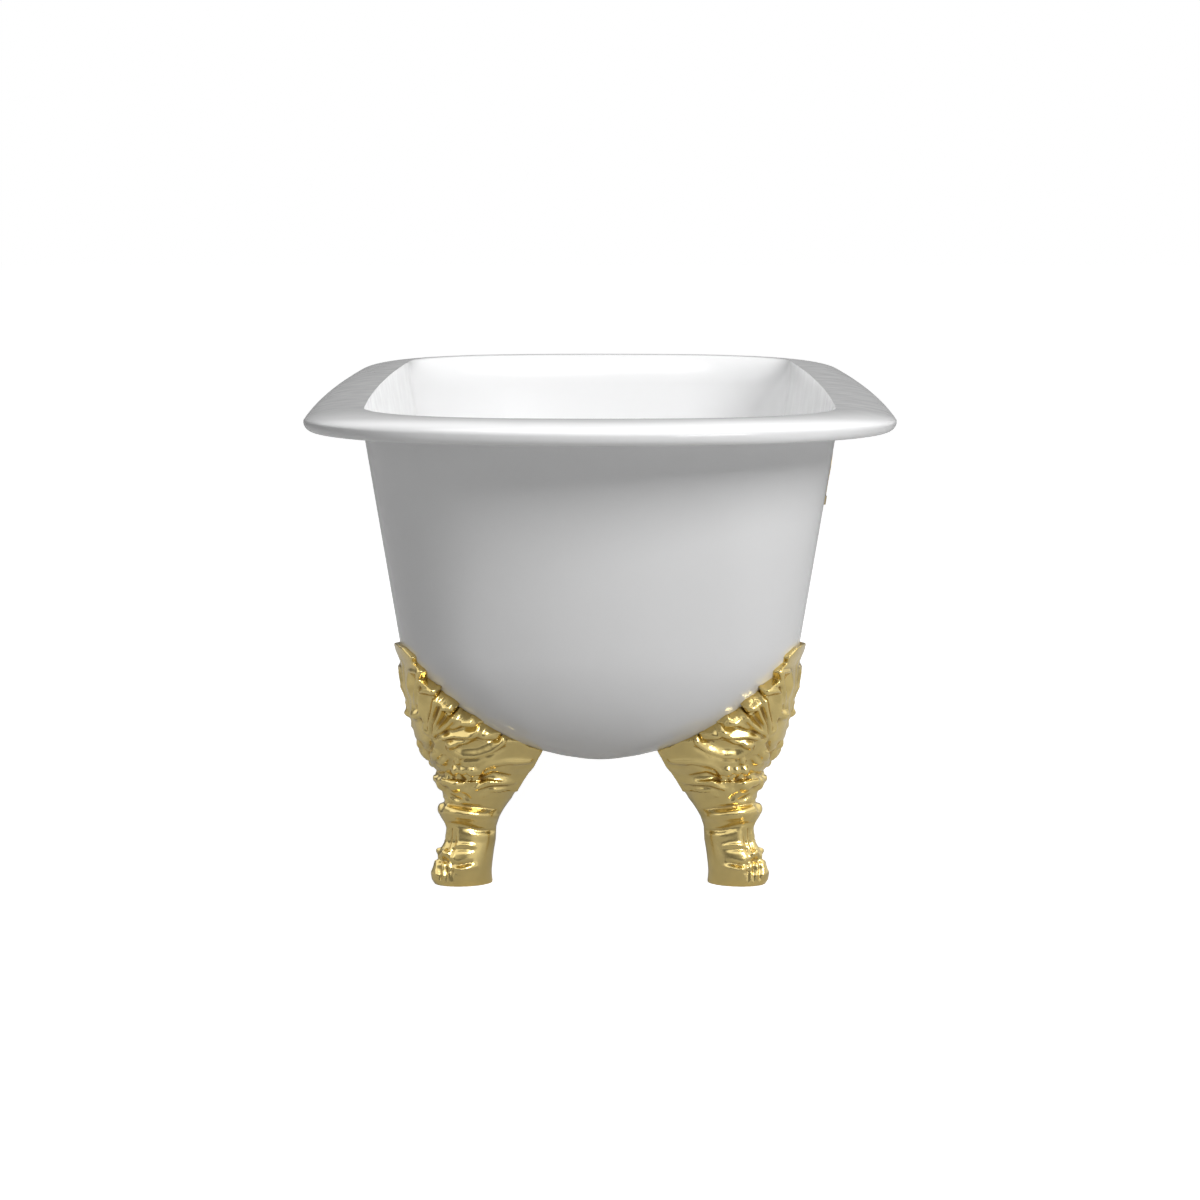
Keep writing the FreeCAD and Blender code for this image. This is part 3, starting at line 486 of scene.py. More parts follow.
# The rim: degrees over its crown, how full the crown is, degrees round the lip, shares of the width below.
CROWN_ANGLES = range(4, 90, 5)
CROWN_POWER = 1.1
LIP_ANGLES = range(-10, 178, 12)
UNDER_SHARES = (0.86, 0.76, 0.66, 0.56, 0.46)
# Rows from the floor's edge to the waste hole.
FLOOR_ROWS = 10
# What a row of the section holds. Each is an attribute of its line.
ROW_LABELS = ("half_width", "half_length", "corner", "end_bow", "level", "hole")
# Shares of a quarter's points on the bowed side, the corner and the bowed end.
SIDE_SHARE, CORNER_SHARE, END_SHARE = 0.34, 0.4, 0.26


def wall_levels(tub):
    """Drops below the crest at which the wall's plan is taken, from the roll down to the floor."""
    roll = [tub.end_roll * (1 - math.cos(math.radians(angle))) for angle in ROLL_ANGLES]
    top = tub.end_roll * (1 - math.sin(tub.end_slope))
    wall = [lerp(top, tub.wall_depth, row / WALL_ROWS) for row in range(WALL_ROWS + 1)]
    bowl = tub.bowl_depth - tub.metal - tub.wall_depth
    toe = [tub.wall_depth + bowl * math.sin(row * FLAT_ANGLE / TOE_ROWS) / FLAT
           for row in range(1, TOE_ROWS + 1)]
    return [drop for drop in roll if drop < top - 0.001] + wall + toe


def inner_plan(tub, drop):
    """Half width, half length, corner and end bow of the well at this drop."""
    bowl = tub.bowl_depth - tub.metal - tub.wall_depth
    below = min(max(drop - tub.wall_depth, 0) / bowl, 1) * FLAT
    round_in = math.sqrt(1 - below ** 2)
    half_width = (tub.width / 2 - tub.rim_width - drop * math.tan(tub.side_taper)) * round_in
    turn = tub.end_roll * (1 - math.sin(tub.end_slope))
    if drop < turn:
        lean = math.sqrt(tub.end_roll ** 2 - (tub.end_roll - drop) ** 2)
    else:
        lean = tub.end_roll * math.cos(tub.end_slope) + (drop - turn) * math.tan(tub.end_slope)
    half_length = tub.length / 2 - tub.rim_width - lean - tub.end_toe * (1 - round_in)
    share = min(drop / tub.wall_depth, 1)
    corner = lerp(tub.well_corner, tub.floor_corner, share) * (CORNER_LEFT + (1 - CORNER_LEFT) * round_in)
    corner = min(corner, CORNER_MOST * half_width)
    end_bow = 1 / ((1 - share) / tub.well_end_bow + share / tub.floor_end_bow)
    end_bow = max(end_bow * (END_LEFT + (1 - END_LEFT) * round_in), corner * END_LEAST)
    return half_width, half_length, corner, end_bow


def wall_row(tub, drop, grow_by):
    """One row of the section on the wall, moved out from the well's surface."""
    steep = math.acos(max(1 - drop / tub.end_roll, math.sin(tub.end_slope)))
    sink = max(drop - tub.wall_depth, 0) / (tub.bowl_depth - tub.metal - tub.wall_depth)
    spread = grow_by * math.sqrt(max(1 - sink ** 2, 0))
    half_width, half_length, corner, end_bow = inner_plan(tub, drop)
    level = tub.height - drop - grow_by * max(math.cos(steep), sink)
    return [half_width + spread, half_length + spread * math.sin(steep), corner + spread, end_bow + spread,
            level, 0.0]


def rim_row(tub, inset, drop):
    """One row of the section on the rim, an inset inside its outline."""
    share = inset / tub.rim_width
    outline = (tub.width / 2, tub.length / 2, tub.rim_corner, tub.rim_end_bow)
    mouth = (tub.width / 2 - tub.rim_width, tub.length / 2 - tub.rim_width, tub.well_corner, tub.well_end_bow)
    return [lerp(a, b, share) for a, b in zip(outline, mouth)] + [tub.height - drop, 0.0]


def tub_section(tub):
    """The closed section: hole, floor, inside wall, rim, lip, outside wall, belly and the hole again."""
    levels = wall_levels(tub)
    inside = [wall_row(tub, drop, 0) for drop in levels[1:]]
    outside = [wall_row(tub, drop, tub.metal) for drop in levels[2:]]
    crown = [rim_row(tub, tub.rim_width * (1 - math.cos(angle) ** CROWN_POWER),
                     tub.lip_drop * (1 - math.sin(angle) ** CROWN_POWER))
             for angle in map(math.radians, CROWN_ANGLES)]
    lip = [rim_row(tub, tub.lip_radius * (1 + math.cos(angle)),
                   tub.lip_drop + tub.lip_radius * math.sin(angle)) for angle in map(math.radians, LIP_ANGLES)]
    fall = (tub.lip_drop - tub.rim_metal) / 2
    under = [rim_row(tub, tub.rim_width * share, tub.rim_metal + fall * (1 - share)) for share in UNDER_SHARES]
    floor, belly = ([edge[:5] + [row / FLOOR_ROWS] for row in range(1, FLOOR_ROWS + 1)]
                    for edge in (inside[-1], outside[-1]))
    up = floor[::-1] + inside[::-1] + [rim_row(tub, tub.rim_width, 0)]
    return up + crown[::-1] + lip[::-1] + under[::-1] + outside + belly


def row_values(tree, line, row):
    """What the section's line holds at this row."""
    values = {}
    for label in ROW_LABELS:
        named = new_node(tree, "GeometryNodeInputNamedAttribute", {"Name": label}, data_type="FLOAT")
        sample = new_node(tree, "GeometryNodeSampleIndex", {
            "Geometry": line, "Value": named.outputs["Attribute"], "Index": (row + 0.5).floor()})
        values[label] = Sums(tree, sample.outputs["Value"])
    return values


def plan_quarter(part, side_bow, half_width, half_length, corner, end_bow):
    """A quarter of the plan, in three tangent arcs: the part runs from 0, mid side, to 1, mid end."""
    side_x, end_y = half_width - side_bow, half_length - end_bow
    to_side, to_end = side_bow - corner, end_bow - corner
    apart = (side_x * side_x + end_y * end_y).root()
    along = (to_side * to_side - to_end * to_end + apart * apart) / (apart * 2)
    across = (to_side * to_side - along * along).root()
    centre_x = side_x - (along * side_x + across * end_y) / apart
    centre_y = (along * end_y - across * side_x) / apart
    side_angle = centre_y.angle_to(centre_x - side_x)
    end_angle = (centre_y - end_y).angle_to(centre_x)
    side_turn = side_angle * part.rising(0.0, SIDE_SHARE)
    corner_turn = side_angle.mixed(end_angle, part.rising(SIDE_SHARE, CORNER_SHARE))
    end_turn = end_angle.mixed(math.pi / 2, part.rising(SIDE_SHARE + CORNER_SHARE, END_SHARE))
    is_side, is_end = part.below(SIDE_SHARE), 1 - part.below(SIDE_SHARE + CORNER_SHARE)
    x = (centre_x + corner * corner_turn.cos()).mixed(side_x + side_bow * side_turn.cos(), is_side)
    y = (centre_y + corner * corner_turn.sin()).mixed(side_bow * side_turn.sin(), is_side)
    x = x.mixed(end_bow * end_turn.cos(), is_end)
    y = y.mixed(end_y + end_bow * end_turn.sin(), is_end)
    return x.most(0.0), y


def sweep_tree():
    """Sweeps the section round the tub's plan. Its rows near the waste hole draw in to a circle."""
    tree, given, out = new_tree("tub_sweep", [("Points Round", "Int"), ("Rows", "Int"), ("Side Bow", "Float"),
                                              ("Hole Radius", "Float"), ("Material", "Material")])
    points_round, rows, side_bow, hole_radius = (
        Sums(tree, given.outputs[label]) for label in ("Points Round", "Rows", "Side Bow", "Hole Radius"))
    grid = new_node(tree, "GeometryNodeMeshGrid", {"Vertices X": points_round + 1, "Vertices Y": rows + 1})
    index = Sums(tree, new_node(tree, "GeometryNodeInputIndex").outputs["Index"])
    column = (index / (rows + 1) + 0.0001).floor()
    row = row_values(tree, given.outputs["Geometry"], (index - column * (rows + 1)).modulo(rows))
    turn = column / points_round * 4
    quarter = turn.modulo(4.0).floor()
    part = turn - turn.floor()
    part = part.mixed(1 - part, quarter.modulo(2.0))
    x, y = plan_quarter(part, side_bow, *(row[label] for label in ROW_LABELS[:4]))
    angle = y.angle_to(x)
    x = x.mixed(hole_radius * angle.cos(), row["hole"])
    y = y.mixed(hole_radius * angle.sin(), row["hole"])
    mirror_x = 1 - (quarter - 1.5).absolute().below(1.0) * 2
    mirror_y = quarter.below(1.5) * 2 - 1
    joined = new_node(tree, "ShaderNodeCombineXYZ", {"X": x * mirror_x, "Y": y * mirror_y, "Z": row["level"]})
    moved = new_node(tree, "GeometryNodeSetPosition", {
        "Geometry": grid.outputs["Mesh"], "Position": joined.outputs["Vector"]})
    merged = new_node(tree, "GeometryNodeMergeByDistance", {
        "Geometry": moved.outputs["Geometry"], "Distance": 1e-5})
    ending(tree, merged.outputs["Geometry"], given.outputs["Material"], out)
    return tree


def round_bar(start, along, radius, length, sides=32):
    """A closed bar from the start point, for cutting holes and making bosses."""
    turn = Vector(along).to_track_quat("Z", "Y").to_matrix()
    ring = [Vector((math.cos(2 * math.pi * i / sides), math.sin(2 * math.pi * i / sides), 0)) * radius
            for i in range(sides)]
    points = [Vector(start) + turn @ (p + Vector((0, 0, h))) for h in (0, length) for p in ring]
    faces = [[i, (i + 1) % sides, sides + (i + 1) % sides, sides + i] for i in range(sides)]
    return points, faces + [list(range(sides))[::-1], list(range(sides, 2 * sides))]


class BATHTUB_OT_tub(bpy.types.Operator):
    """The enamelled casting: rolled rim, walls, floor, a boss over each foot and the two holes"""
    bl_idname = "bathtub.tub"
    bl_label = "Build the tub"

    def execute(self, context):
        tub = context.scene.tub_sizes
        section = tub_section(tub)
        line = mesh_from("tub_section", [(row[0], 0, row[4]) for row in section], [])
        for label, values in zip(ROW_LABELS, zip(*section)):
            line.attributes.new(label, "FLOAT", "POINT").data.foreach_set("value", values)
        shell = link("tub_casting", line)
        grow(shell, sweep_tree(), {
            "Points Round": tub.points_round, "Rows": len(section), "Side Bow": tub.side_bow,
            "Hole Radius": tub.drain_radius, "Material": enamel_material(tub.enamel)})
        low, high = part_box("tub_shell")
        place(shell.data, np.clip(positions(shell.data), np.array(low), np.array(high)))
        outward(shell.data)
        cut_overflow(shell, tub)
        add_bosses(shell, tub)
        smooth(shell, CRISP_ANGLE)
        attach(shell, "tub")
        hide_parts("tub_shell")
        return {"FINISHED"}


# Edges of the tub sharper than this stay crisp.
CRISP_ANGLE = math.radians(50)
# In metres: how far the overflow's cut reaches each side of the wall, half the width of a bolt's head, and
# the underside and height of a boss.
CUT_REACH = 0.03
BOLT_HEAD = 0.009
BOSS_LEVEL = 0.158
BOSS_HEIGHT = 0.02


def cut_overflow(shell, tub):
    """Cuts the hole for the overflow square to the side wall."""
    lean = Vector((math.cos(tub.side_taper), 0, -math.sin(tub.side_taper)))
    middle = Vector((tub.width / 2 - tub.rim_width - tub.overflow_drop * math.tan(tub.side_taper), 0,
                     tub.height - tub.overflow_drop))
    points, faces = round_bar(middle - lean * CUT_REACH, lean, tub.overflow_hole, 2 * CUT_REACH, 64)
    bar = link("overflow_cut", mesh_from("overflow_cut", points, faces))
    cut = shell.modifiers.new("Hole", "BOOLEAN")
    cut.operation = "DIFFERENCE"
    cut.solver = "EXACT"
    cut.object = bar
    apply_modifiers(shell)
    bpy.data.objects.remove(bar)


def add_bosses(shell, tub):
    """Short bosses under the belly, over the bolts that hold the feet."""
    low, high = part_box("foot_bolts")
    inset = (high.x - low.x) / 2 - BOLT_HEAD
    reach = (high.y - low.y) / 2 - BOLT_HEAD
    points, faces = [], []
    for across, along in FEET.values():
        more, sides = round_bar((-inset * across, -reach * along, BOSS_LEVEL), (0, 0, 1), tub.boss_radius,
                                BOSS_HEIGHT)
        faces += [[i + len(points) for i in face] for face in sides]
        points += more
    bosses = mesh_from("bosses", points, faces)
    outward(bosses)
    work = bmesh.new()
    work.from_mesh(shell.data)
    work.from_mesh(bosses)
    work.to_mesh(shell.data)
    work.free()


# -------------------- the claw feet

# A carved line's height falls by this share at its ends, and its width is spread by this much.
LINE_TAPER = 0.5
LINE_SPREAD = 1.25
# The share of what is carved under a ball that still shows on it.
BALL_KEEPS = 0.4


def line_distance(points, line):
    """Each point's distance from a broken line, and how far along it the nearest place is."""
    best = np.full(len(points), 1e9)
    where = np.zeros(len(points))
    line = np.asarray(line, float)
    steps = np.hypot(*(line[1:] - line[:-1]).T)
    total = max(steps.sum(), 1e-9)
    gone = 0.0
    for start, end, step in zip(line[:-1], line[1:], steps):
        way = end - start
        share = np.clip(((points - start) @ way) / max(way @ way, 1e-12), 0, 1)
        away = np.hypot(*(points - start - share[:, None] * way).T)
        closer = away < best
        best = np.where(closer, away, best)
        where = np.where(closer, (gone + share * step) / total, where)
        gone += step
    return best, where


def line_relief(points, line, height, width):
    """A rounded ridge along the line, lower towards its ends."""
    away, where = line_distance(points, line)
    fade = 1 - LINE_TAPER * np.abs(2 * where - 1) ** 2
    return height * fade * np.exp(-(away / (LINE_SPREAD * width * fade)) ** 2)


def with_ball(relief, points, centre, radius, height):
    """The relief with a round boss set into it."""
    away = np.hypot(*(points - np.asarray(centre, float)).T) / radius
    ball = height * np.sqrt(np.maximum(1 - np.minimum(away, 1) ** 2, 0))
    return np.where(away < 1, np.maximum(relief, relief * BALL_KEEPS + ball), relief)


def inside(points, outline):
    """Which points lie inside a closed outline."""
    within = np.zeros(len(points), bool)
    x, y = points.T
    for (x1, y1), (x2, y2) in zip(outline, outline[1:] + outline[:1]):
        if y1 == y2:
            continue
        crosses = ((y1 > y) != (y2 > y)) & (x < (x2 - x1) * (y - y1) / (y2 - y1) + x1)
        within ^= crosses
    return within


def leaf_relief(points, outline, lip, cup, width):
    """A cupped leaf: a raised edge round its outline and a hollow within."""
    away, _ = line_distance(points, outline + outline[:1])
    within = inside(points, outline)
    edge = lip * np.exp(-(np.where(within, away, away * 2.2) / width) ** 2)
    return edge - np.where(within, cup * step_between(width * 0.6, width * 2.6, away), 0)


def charted(points, leaves, grooves, ridges, balls):
    """The relief that a chart of leaves, grooves, ridges and balls gives at these points."""
    relief = np.zeros(len(points))
    for leaf in leaves:
        relief += leaf_relief(points, *leaf)
    for groove in grooves:
        relief -= line_relief(points, *groove)
    for ridge in ridges:
        relief += line_relief(points, *ridge)
    for ball in balls:
        relief = with_ball(relief, points, *ball)
    return relief


# The side chart, in mm: along the foot's side and up, as the stage's camera sees the near left foot. Its axes
# in the foot's own frame: outwards and across, then outwards, across and up.
CHART_ALONG = (-0.906, 0.423)
CHART_UP = (-0.048, -0.1035, 0.9935)
SIDE_LEAVES = (
    # outline, lip, cup, width of the lip
    ([(-61, 272), (-47, 271), (-48, 258), (-52, 244), (-53, 226), (-56, 217), (-60, 236), (-62, 254)],
     2.4, 1.8, 3.0),
    ([(-50, 246), (-42, 248), (-27, 246), (-26, 238), (-29, 222), (-34, 205), (-35, 192), (-41, 196),
      (-47, 216), (-51, 232)], 2.6, 3.4, 3.4),
    ([(-20, 226), (-6, 225), (-3, 216), (-11, 205), (-22, 197), (-31, 190), (-30, 206), (-24, 217)],
     2.4, 3.2, 3.2),
    ([(4, 207), (22, 206), (27, 196), (12, 190), (-8, 189), (-24, 186), (-20, 196), (-4, 203)],
     2.4, 2.8, 3.2),
    ([(30, 191), (50, 190), (58, 182), (44, 172), (24, 164), (4, 163), (-12, 172), (-12, 182), (8, 184),
      (24, 192)], 2.6, 3.4, 3.4),
)
SIDE_GROOVES = (
    # line, depth, width
    ([(-61, 272), (-57, 255), (-60, 236), (-55, 220)], 2.6, 2.4),
    ([(-47, 252), (-51, 238), (-52, 224), (-45, 208), (-37, 194)], 3.2, 2.2),
    ([(-22, 228), (-28, 216), (-33, 204), (-34, 190)], 3.2, 2.0),
    ([(5, 208), (-6, 202), (-20, 192), (-30, 184)], 3.2, 2.0),
    ([(32, 193), (18, 187), (0, 187), (-16, 184)], 2.6, 1.9),
    ([(60, 175), (44, 166), (24, 160), (2, 159), (-14, 172)], 3.6, 2.2),
    ([(-36, 186), (-34, 178), (-38, 168)], 2.8, 2.0),
    ([(64, 155), (44, 145), (22, 139), (-6, 140)], 2.6, 1.8),
    ([(64, 137), (44, 140), (28, 134), (20, 124)], 2.4, 1.8),
    ([(64, 126), (44, 125), (30, 121), (18, 117)], 2.2, 1.6),
    ([(50, 116), (34, 118), (24, 114)], 1.6, 1.6),
    ([(-1, 139), (8, 130), (9, 118)], 2.2, 1.8),
    ([(14, 138), (16, 128), (14, 118)], 2.0, 1.6),
    ([(-20, 140), (-14, 134), (-4, 138)], 2.2, 1.8),
    ([(-14, 114), (-6, 108), (4, 106)], 2.6, 2.0),
    ([(2, 116), (10, 110), (14, 106)], 2.4, 1.8),
    ([(-22, 106), (-8, 101), (18, 97), (50, 95)], 2.2, 2.2),
    ([(-20, 77), (4, 73), (24, 68), (44, 67)], 2.2, 2.6),
    ([(-17, 73), (-19, 60), (-21, 47), (-27, 38)], 2.6, 1.8),
    ([(-11, 71), (-13, 58), (-16, 46), (-20, 34)], 2.8, 1.8),
    ([(-5, 68), (-7, 55), (-9, 44), (-12, 34)], 2.4, 1.8),
    ([(-35, 32), (-24, 31), (-10, 29)], 3.6, 2.2),
    ([(-12, 26), (0, 24), (16, 28)], 2.6, 1.6),
    ([(-10, 44), (4, 45), (18, 44)], 1.4, 1.8),
    ([(-26, 29), (-27, 18), (-25, 4)], 3.4, 1.8),
    ([(-18, 29), (-18, 18), (-17, 4)], 3.4, 1.8),
    ([(-10, 28), (-10, 18), (-10, 4)], 3.0, 1.8),
)
SIDE_RIDGES = (
    # line, height, width
    ([(-14, 179), (0, 187), (24, 191)], 2.2, 2.2),
    ([(28, 147), (40, 155), (58, 158), (90, 157)], 3.2, 3.4),
    ([(22, 121), (36, 130), (70, 130)], 3.0, 3.8),
    ([(26, 112), (44, 119), (64, 121)], 1.6, 2.6),
    ([(-26, 97), (-4, 92), (22, 87), (46, 84)], 2.6, 6.0),
    ([(-10, 48), (4, 49), (20, 48)], 1.4, 2.2),
    ([(-10, 20), (4, 19), (20, 22)], 1.4, 3.0),
    ([(-24, 70), (-26, 56), (-29, 44)], 1.4, 2.0),
    ([(-14, 68), (-16, 54), (-20, 42)], 1.4, 1.8),
)
SIDE_BALLS = (
    # centre, radius, height
    ((-30, 163), 9, 4.0),
    ((-19, 158), 6, 4.0),
    ((-1, 158), 4.5, 3.2),
    ((-4, 147), 5.5, 4.2),
    ((6, 146), 5, 3.6),
    ((17, 145), 6.5, 4.2),
    ((26, 143), 5, 2.8),
    ((-15, 132), 8, 4.6),
    ((-5, 126), 8, 4.2),
    ((-30, 126), 8, 3.6),
    ((-5, 179), 6, 3.0),
    ((-52, 216), 6, 3.4),
    ((-29, 41), 6, 2.6),
    ((-19, 39), 4.5, 2.2),
)
# The front chart, in mm: across the foot from its middle and up. It is mirrored.
FRONT_GROOVES = (
    ([(9, 34), (10, 18), (9, 2)], 3.2, 2.0),
    ([(21, 32), (23, 18), (22, 2)], 2.8, 2.0),
    ([(0, 33), (12, 32), (26, 31)], 2.6, 2.0),
    ([(7, 74), (8, 56), (10, 38)], 2.2, 1.8),
    ([(16, 72), (18, 54), (20, 40)], 2.0, 1.8),
    ([(7, 292), (9, 262), (10, 232), (7, 204)], 2.6, 2.2),
    ([(26, 258), (22, 236), (15, 210), (8, 190)], 2.4, 2.2),
    ([(0, 150), (14, 152), (24, 158)], 2.2, 2.0),
    ([(0, 112), (12, 112), (24, 116)], 2.2, 2.0),
)
FRONT_RIDGES = (
    ([(0, 300), (0, 262), (0, 224), (0, 196)], 2.0, 2.4),
    ([(15, 276), (16, 250), (13, 222), (8, 200)], 1.8, 2.6),
)
FRONT_BALLS = (
    ((0, 167), 9, 4.2),
    ((13, 172), 6, 3.4),
    ((13, 160), 6, 3.4),
    ((0, 182), 6, 3.2),
    ((0, 130), 10, 4.2),
    ((15, 126), 8, 3.4),
)


# How far a surface faces to the side before the side chart shows on it, and ahead for the front chart.
SIDE_FACING = (0.2, 0.45)
FRONT_FACING = (0.965, 0.999)
# The front chart's zone, in mm: all round the paw, fading out from here up, and above it a strip this wide.
PAW_TOP = (76.0, 90.0)
SPINE_WIDTH = (3.0, 9.0)


def carving(points, facing):
    """How far the carving stands out of the plain casting, in mm, at points in the foot's own frame."""
    outwards, across, up = points.T
    sideward = np.abs(across)
    side = np.stack([CHART_ALONG[0] * outwards + CHART_ALONG[1] * sideward,
                     CHART_UP[2] * up + CHART_UP[0] * outwards + CHART_UP[1] * sideward], 1)
    flank = charted(side, SIDE_LEAVES, SIDE_GROOVES, SIDE_RIDGES, SIDE_BALLS)
    face = charted(np.stack([sideward, up], 1), (), FRONT_GROOVES, FRONT_RIDGES, FRONT_BALLS)
    ahead, to_flank, _ = facing.T
    sideways = (CHART_ALONG[1] * ahead
                - CHART_ALONG[0] * np.abs(to_flank) * np.sign(across * to_flank + 1e-9))
    level = np.maximum(np.hypot(ahead, to_flank), 1e-9)
    zone = np.maximum(1 - step_between(*PAW_TOP, up), 1 - step_between(*SPINE_WIDTH, sideward))
    face_share = step_between(*FRONT_FACING, ahead / level) * zone
    return flank * step_between(*SIDE_FACING, sideways) * (1 - face_share) + face * face_share


# Behind the knee, in mm: levels, how much fuller the cast leg is there than the plain solid, the depth over
# which that starts, and how far back it reaches.
KNEE_LEVELS = (84, 97, 103, 110, 117, 121)
KNEE_FILL = (0, 3.5, 5.5, 8, 9.5, 10)
KNEE_FADE = 30.0
KNEE_BACK = -62


def fill_knee(local):
    """The back of the leg made fuller where it runs up into the bracket."""
    filled = local.copy()
    outwards = local[:, 0]
    more = np.interp(local[:, 2], KNEE_LEVELS, KNEE_FILL, right=0)
    pushed = np.maximum(outwards - more * step_between(0.0, KNEE_FADE, -outwards),
                        np.minimum(KNEE_BACK, outwards))
    filled[:, 0] = np.where(more > 0, pushed, outwards)
    return filled


def eased(mesh, points, share):
    """The points moved by a share towards the mean of their neighbours."""
    return points + share * (neighbour_mean(mesh, points) - points)


# In the foot's own frame, in mm: the middle of the leg, how far a surface faces away from it before it is
# carved, the height from which carving stands out in full, and the height under which all lies on the floor.
LEG_MIDDLE = (-40.0, 0.0)
CARVED_FACING = (0.02, 0.22)
FLOOR_CLEAR = 3.0
FLOOR_FLAT = 0.4


def carved_foot(foot):
    """The near left foot, its casting refined and carved."""
    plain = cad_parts["foot_front_left"].data.copy()
    outward(plain, 1e-5)
    piece = link("carved_foot", plain)
    low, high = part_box("foot_front_left")
    if (low.x + high.x) > 0 or (low.y + high.y) > 0:
        raise RuntimeError("the near left foot isn't where it was expected")
    remesh = piece.modifiers.new("Refine", "REMESH")
    remesh.mode = "VOXEL"
    remesh.voxel_size = foot.grain
    apply_modifiers(piece)
    mesh = piece.data
    points = eased(mesh, positions(mesh), 0.5)
    place(mesh, points)
    facing = neighbour_mean(mesh, normals(mesh), 5)
    facing /= np.maximum(np.linalg.norm(facing, axis=1), 1e-9)[:, None]
    # The foot's own frame: X outwards, Y to its flank, in mm.
    own = Matrix.Translation((-foot.offset, -foot.reach, 0)) @ Matrix.Rotation(math.pi + foot.splay, 4, "Z")
    to_own = np.array(own.inverted())
    plain_local = (points @ to_own[:3, :3].T + to_own[:3, 3]) * 1000
    local_facing = facing @ to_own[:3, :3].T
    local = fill_knee(plain_local)
    points = points + (local - plain_local) @ to_own[:3, :3] / 1000
    away = local[:, :2] - LEG_MIDDLE
    radial = (away * local_facing[:, :2]).sum(1) / np.maximum(np.hypot(*away.T), 1e-9)
    height = foot.relief * carving(local, local_facing) * step_between(*CARVED_FACING, radial)
    height = neighbour_mean(mesh, height, 3)
    height = height * np.where(height > 0, step_between(0.0, FLOOR_CLEAR, local[:, 2]), 1)
    points = points + facing * (height / 1000)[:, None]
    points[:, 2] = np.maximum(points[:, 2], 0.0)
    place(mesh, points)
    points = eased(mesh, points, 0.4)
    points[:, 2] = np.where(local[:, 2] < FLOOR_FLAT, 0.0, np.maximum(points[:, 2], 0.0))
    place(mesh, points)
    seat_plate(mesh)
    return piece


# Where the leaf plate lies on the tub, in metres: from this height up, in full this much higher, the most it
# is thickened, and the gap left.
PLATE_FROM = 0.160
PLATE_FADE = 0.012
PLATE_MOST = 0.026
PLATE_GAP = 0.0002
# How far its back faces the tub before it is moved, and before it is moved in full.
PLATE_FACING = (0.05, 0.5)


def seat_plate(mesh):
    """The leaf plate thickened backwards until it lies on the tub, as the cast one does."""
    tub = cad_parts["tub_shell"].data
    tree = BVHTree.FromPolygons([v.co for v in tub.vertices], [list(p.vertices) for p in tub.polygons])
    points = positions(mesh)
    facing = neighbour_mean(mesh, normals(mesh), 2)
    high = np.flatnonzero(points[:, 2] > PLATE_FROM)
    nearest = np.array([tree.find_nearest(Vector(points[at]))[0] for at in high])
    towards = nearest - points[high]
    away = np.maximum(np.linalg.norm(towards, axis=1), 1e-6)
    share = step_between(*PLATE_FACING, (facing[high] * towards).sum(1) / away)
    share *= step_between(PLATE_FROM, PLATE_FROM + PLATE_FADE, points[high, 2])
    step = np.clip(away - PLATE_GAP, 0, PLATE_MOST) * share
    points[high] += towards * (step / away)[:, None]
    place(mesh, points)


# How far the surface sinks below its surroundings, in metres, where the painted shade and tarnish start and
# where they are full.
HOLLOW = (0.00012, 0.0009)


def mark_hollows(mesh):
    """Keeps in an attribute how hollow each place is, for the painted shade and tarnish in the hollows."""
    points = positions(mesh)
    bent = ((neighbour_mean(mesh, points, 4) - points) * normals(mesh)).sum(1)
    hollow = step_between(*HOLLOW, neighbour_mean(mesh, bent, 2))
    mesh.attributes.new("hollow", "FLOAT", "POINT").data.foreach_set("value", hollow.astype(np.float32))


class BATHTUB_OT_feet(bpy.types.Operator):
    """The four claw feet: lion's paw, collar and a bracket of cupped leaves"""
    bl_idname = "bathtub.feet"
    bl_label = "Build the feet"

    def execute(self, context):
        foot = context.scene.foot_sizes
        brass = cast_brass_material(foot.brass, foot.hollow_shade_and_tarnish)
        first = carved_foot(foot)
        mark_hollows(first.data)
        for side, (across, along) in FEET.items():
            mesh = first.data.copy()
            mesh.transform(Matrix.Diagonal((across, along, 1, 1)))
            if across * along < 0:
                mesh.flip_normals()
            mesh.materials.clear()
            mesh.materials.append(brass)
            piece = smooth(link("claw_foot_" + side, mesh))
            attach(piece, "tub")
            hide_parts("foot_" + side)
        bpy.data.objects.remove(first)
        return {"FINISHED"}


# -------------------- the fittings

# The nodes that the model keeps, by finish.
NODES_BY_FINISH = {
    "trim": "waste_flange plug plug_locknut lift_lever overflow_face overflow_knob",
    "pipe": "waste_body overflow_body cable_drum overflow_pipe pipe_nuts",
    "steel": "foot_bolts foot_washers plug_screw lever_pin knob_spindle knob_screw",
    "rubber": "waste_seal waste_gasket plug_seal overflow_gasket overflow_seal pipe_seals",
    "cable": "pull_cable",
}


class BATHTUB_OT_fittings(bpy.types.Operator):
    """Finishes for the waste, the overflow, the pipe and the bolts that the model already holds"""
    bl_idname = "bathtub.fittings"
    bl_label = "Finish the fittings"

    def execute(self, context):
        colours = context.scene.fitting_colours
        finishes = {
            "trim": turned_brass_material("trim_brass", colours.trim, 0.16),
            "pipe": turned_brass_material("pipe_brass", colours.pipe, 0.3),
            "steel": steel_material(colours.steel),
            "rubber": rubber_material("seal_rubber", colours.rubber, 400.0),
            "cable": rubber_material("cable_sleeve", tinted(colours.rubber, 1.3), 900.0),
        }
        for finish, names in NODES_BY_FINISH.items():
            for name in names.split():
                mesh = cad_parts[name].data
                mesh.materials.clear()
                mesh.materials.append(finishes[finish])
        return {"FINISHED"}


# -------------------- the stage

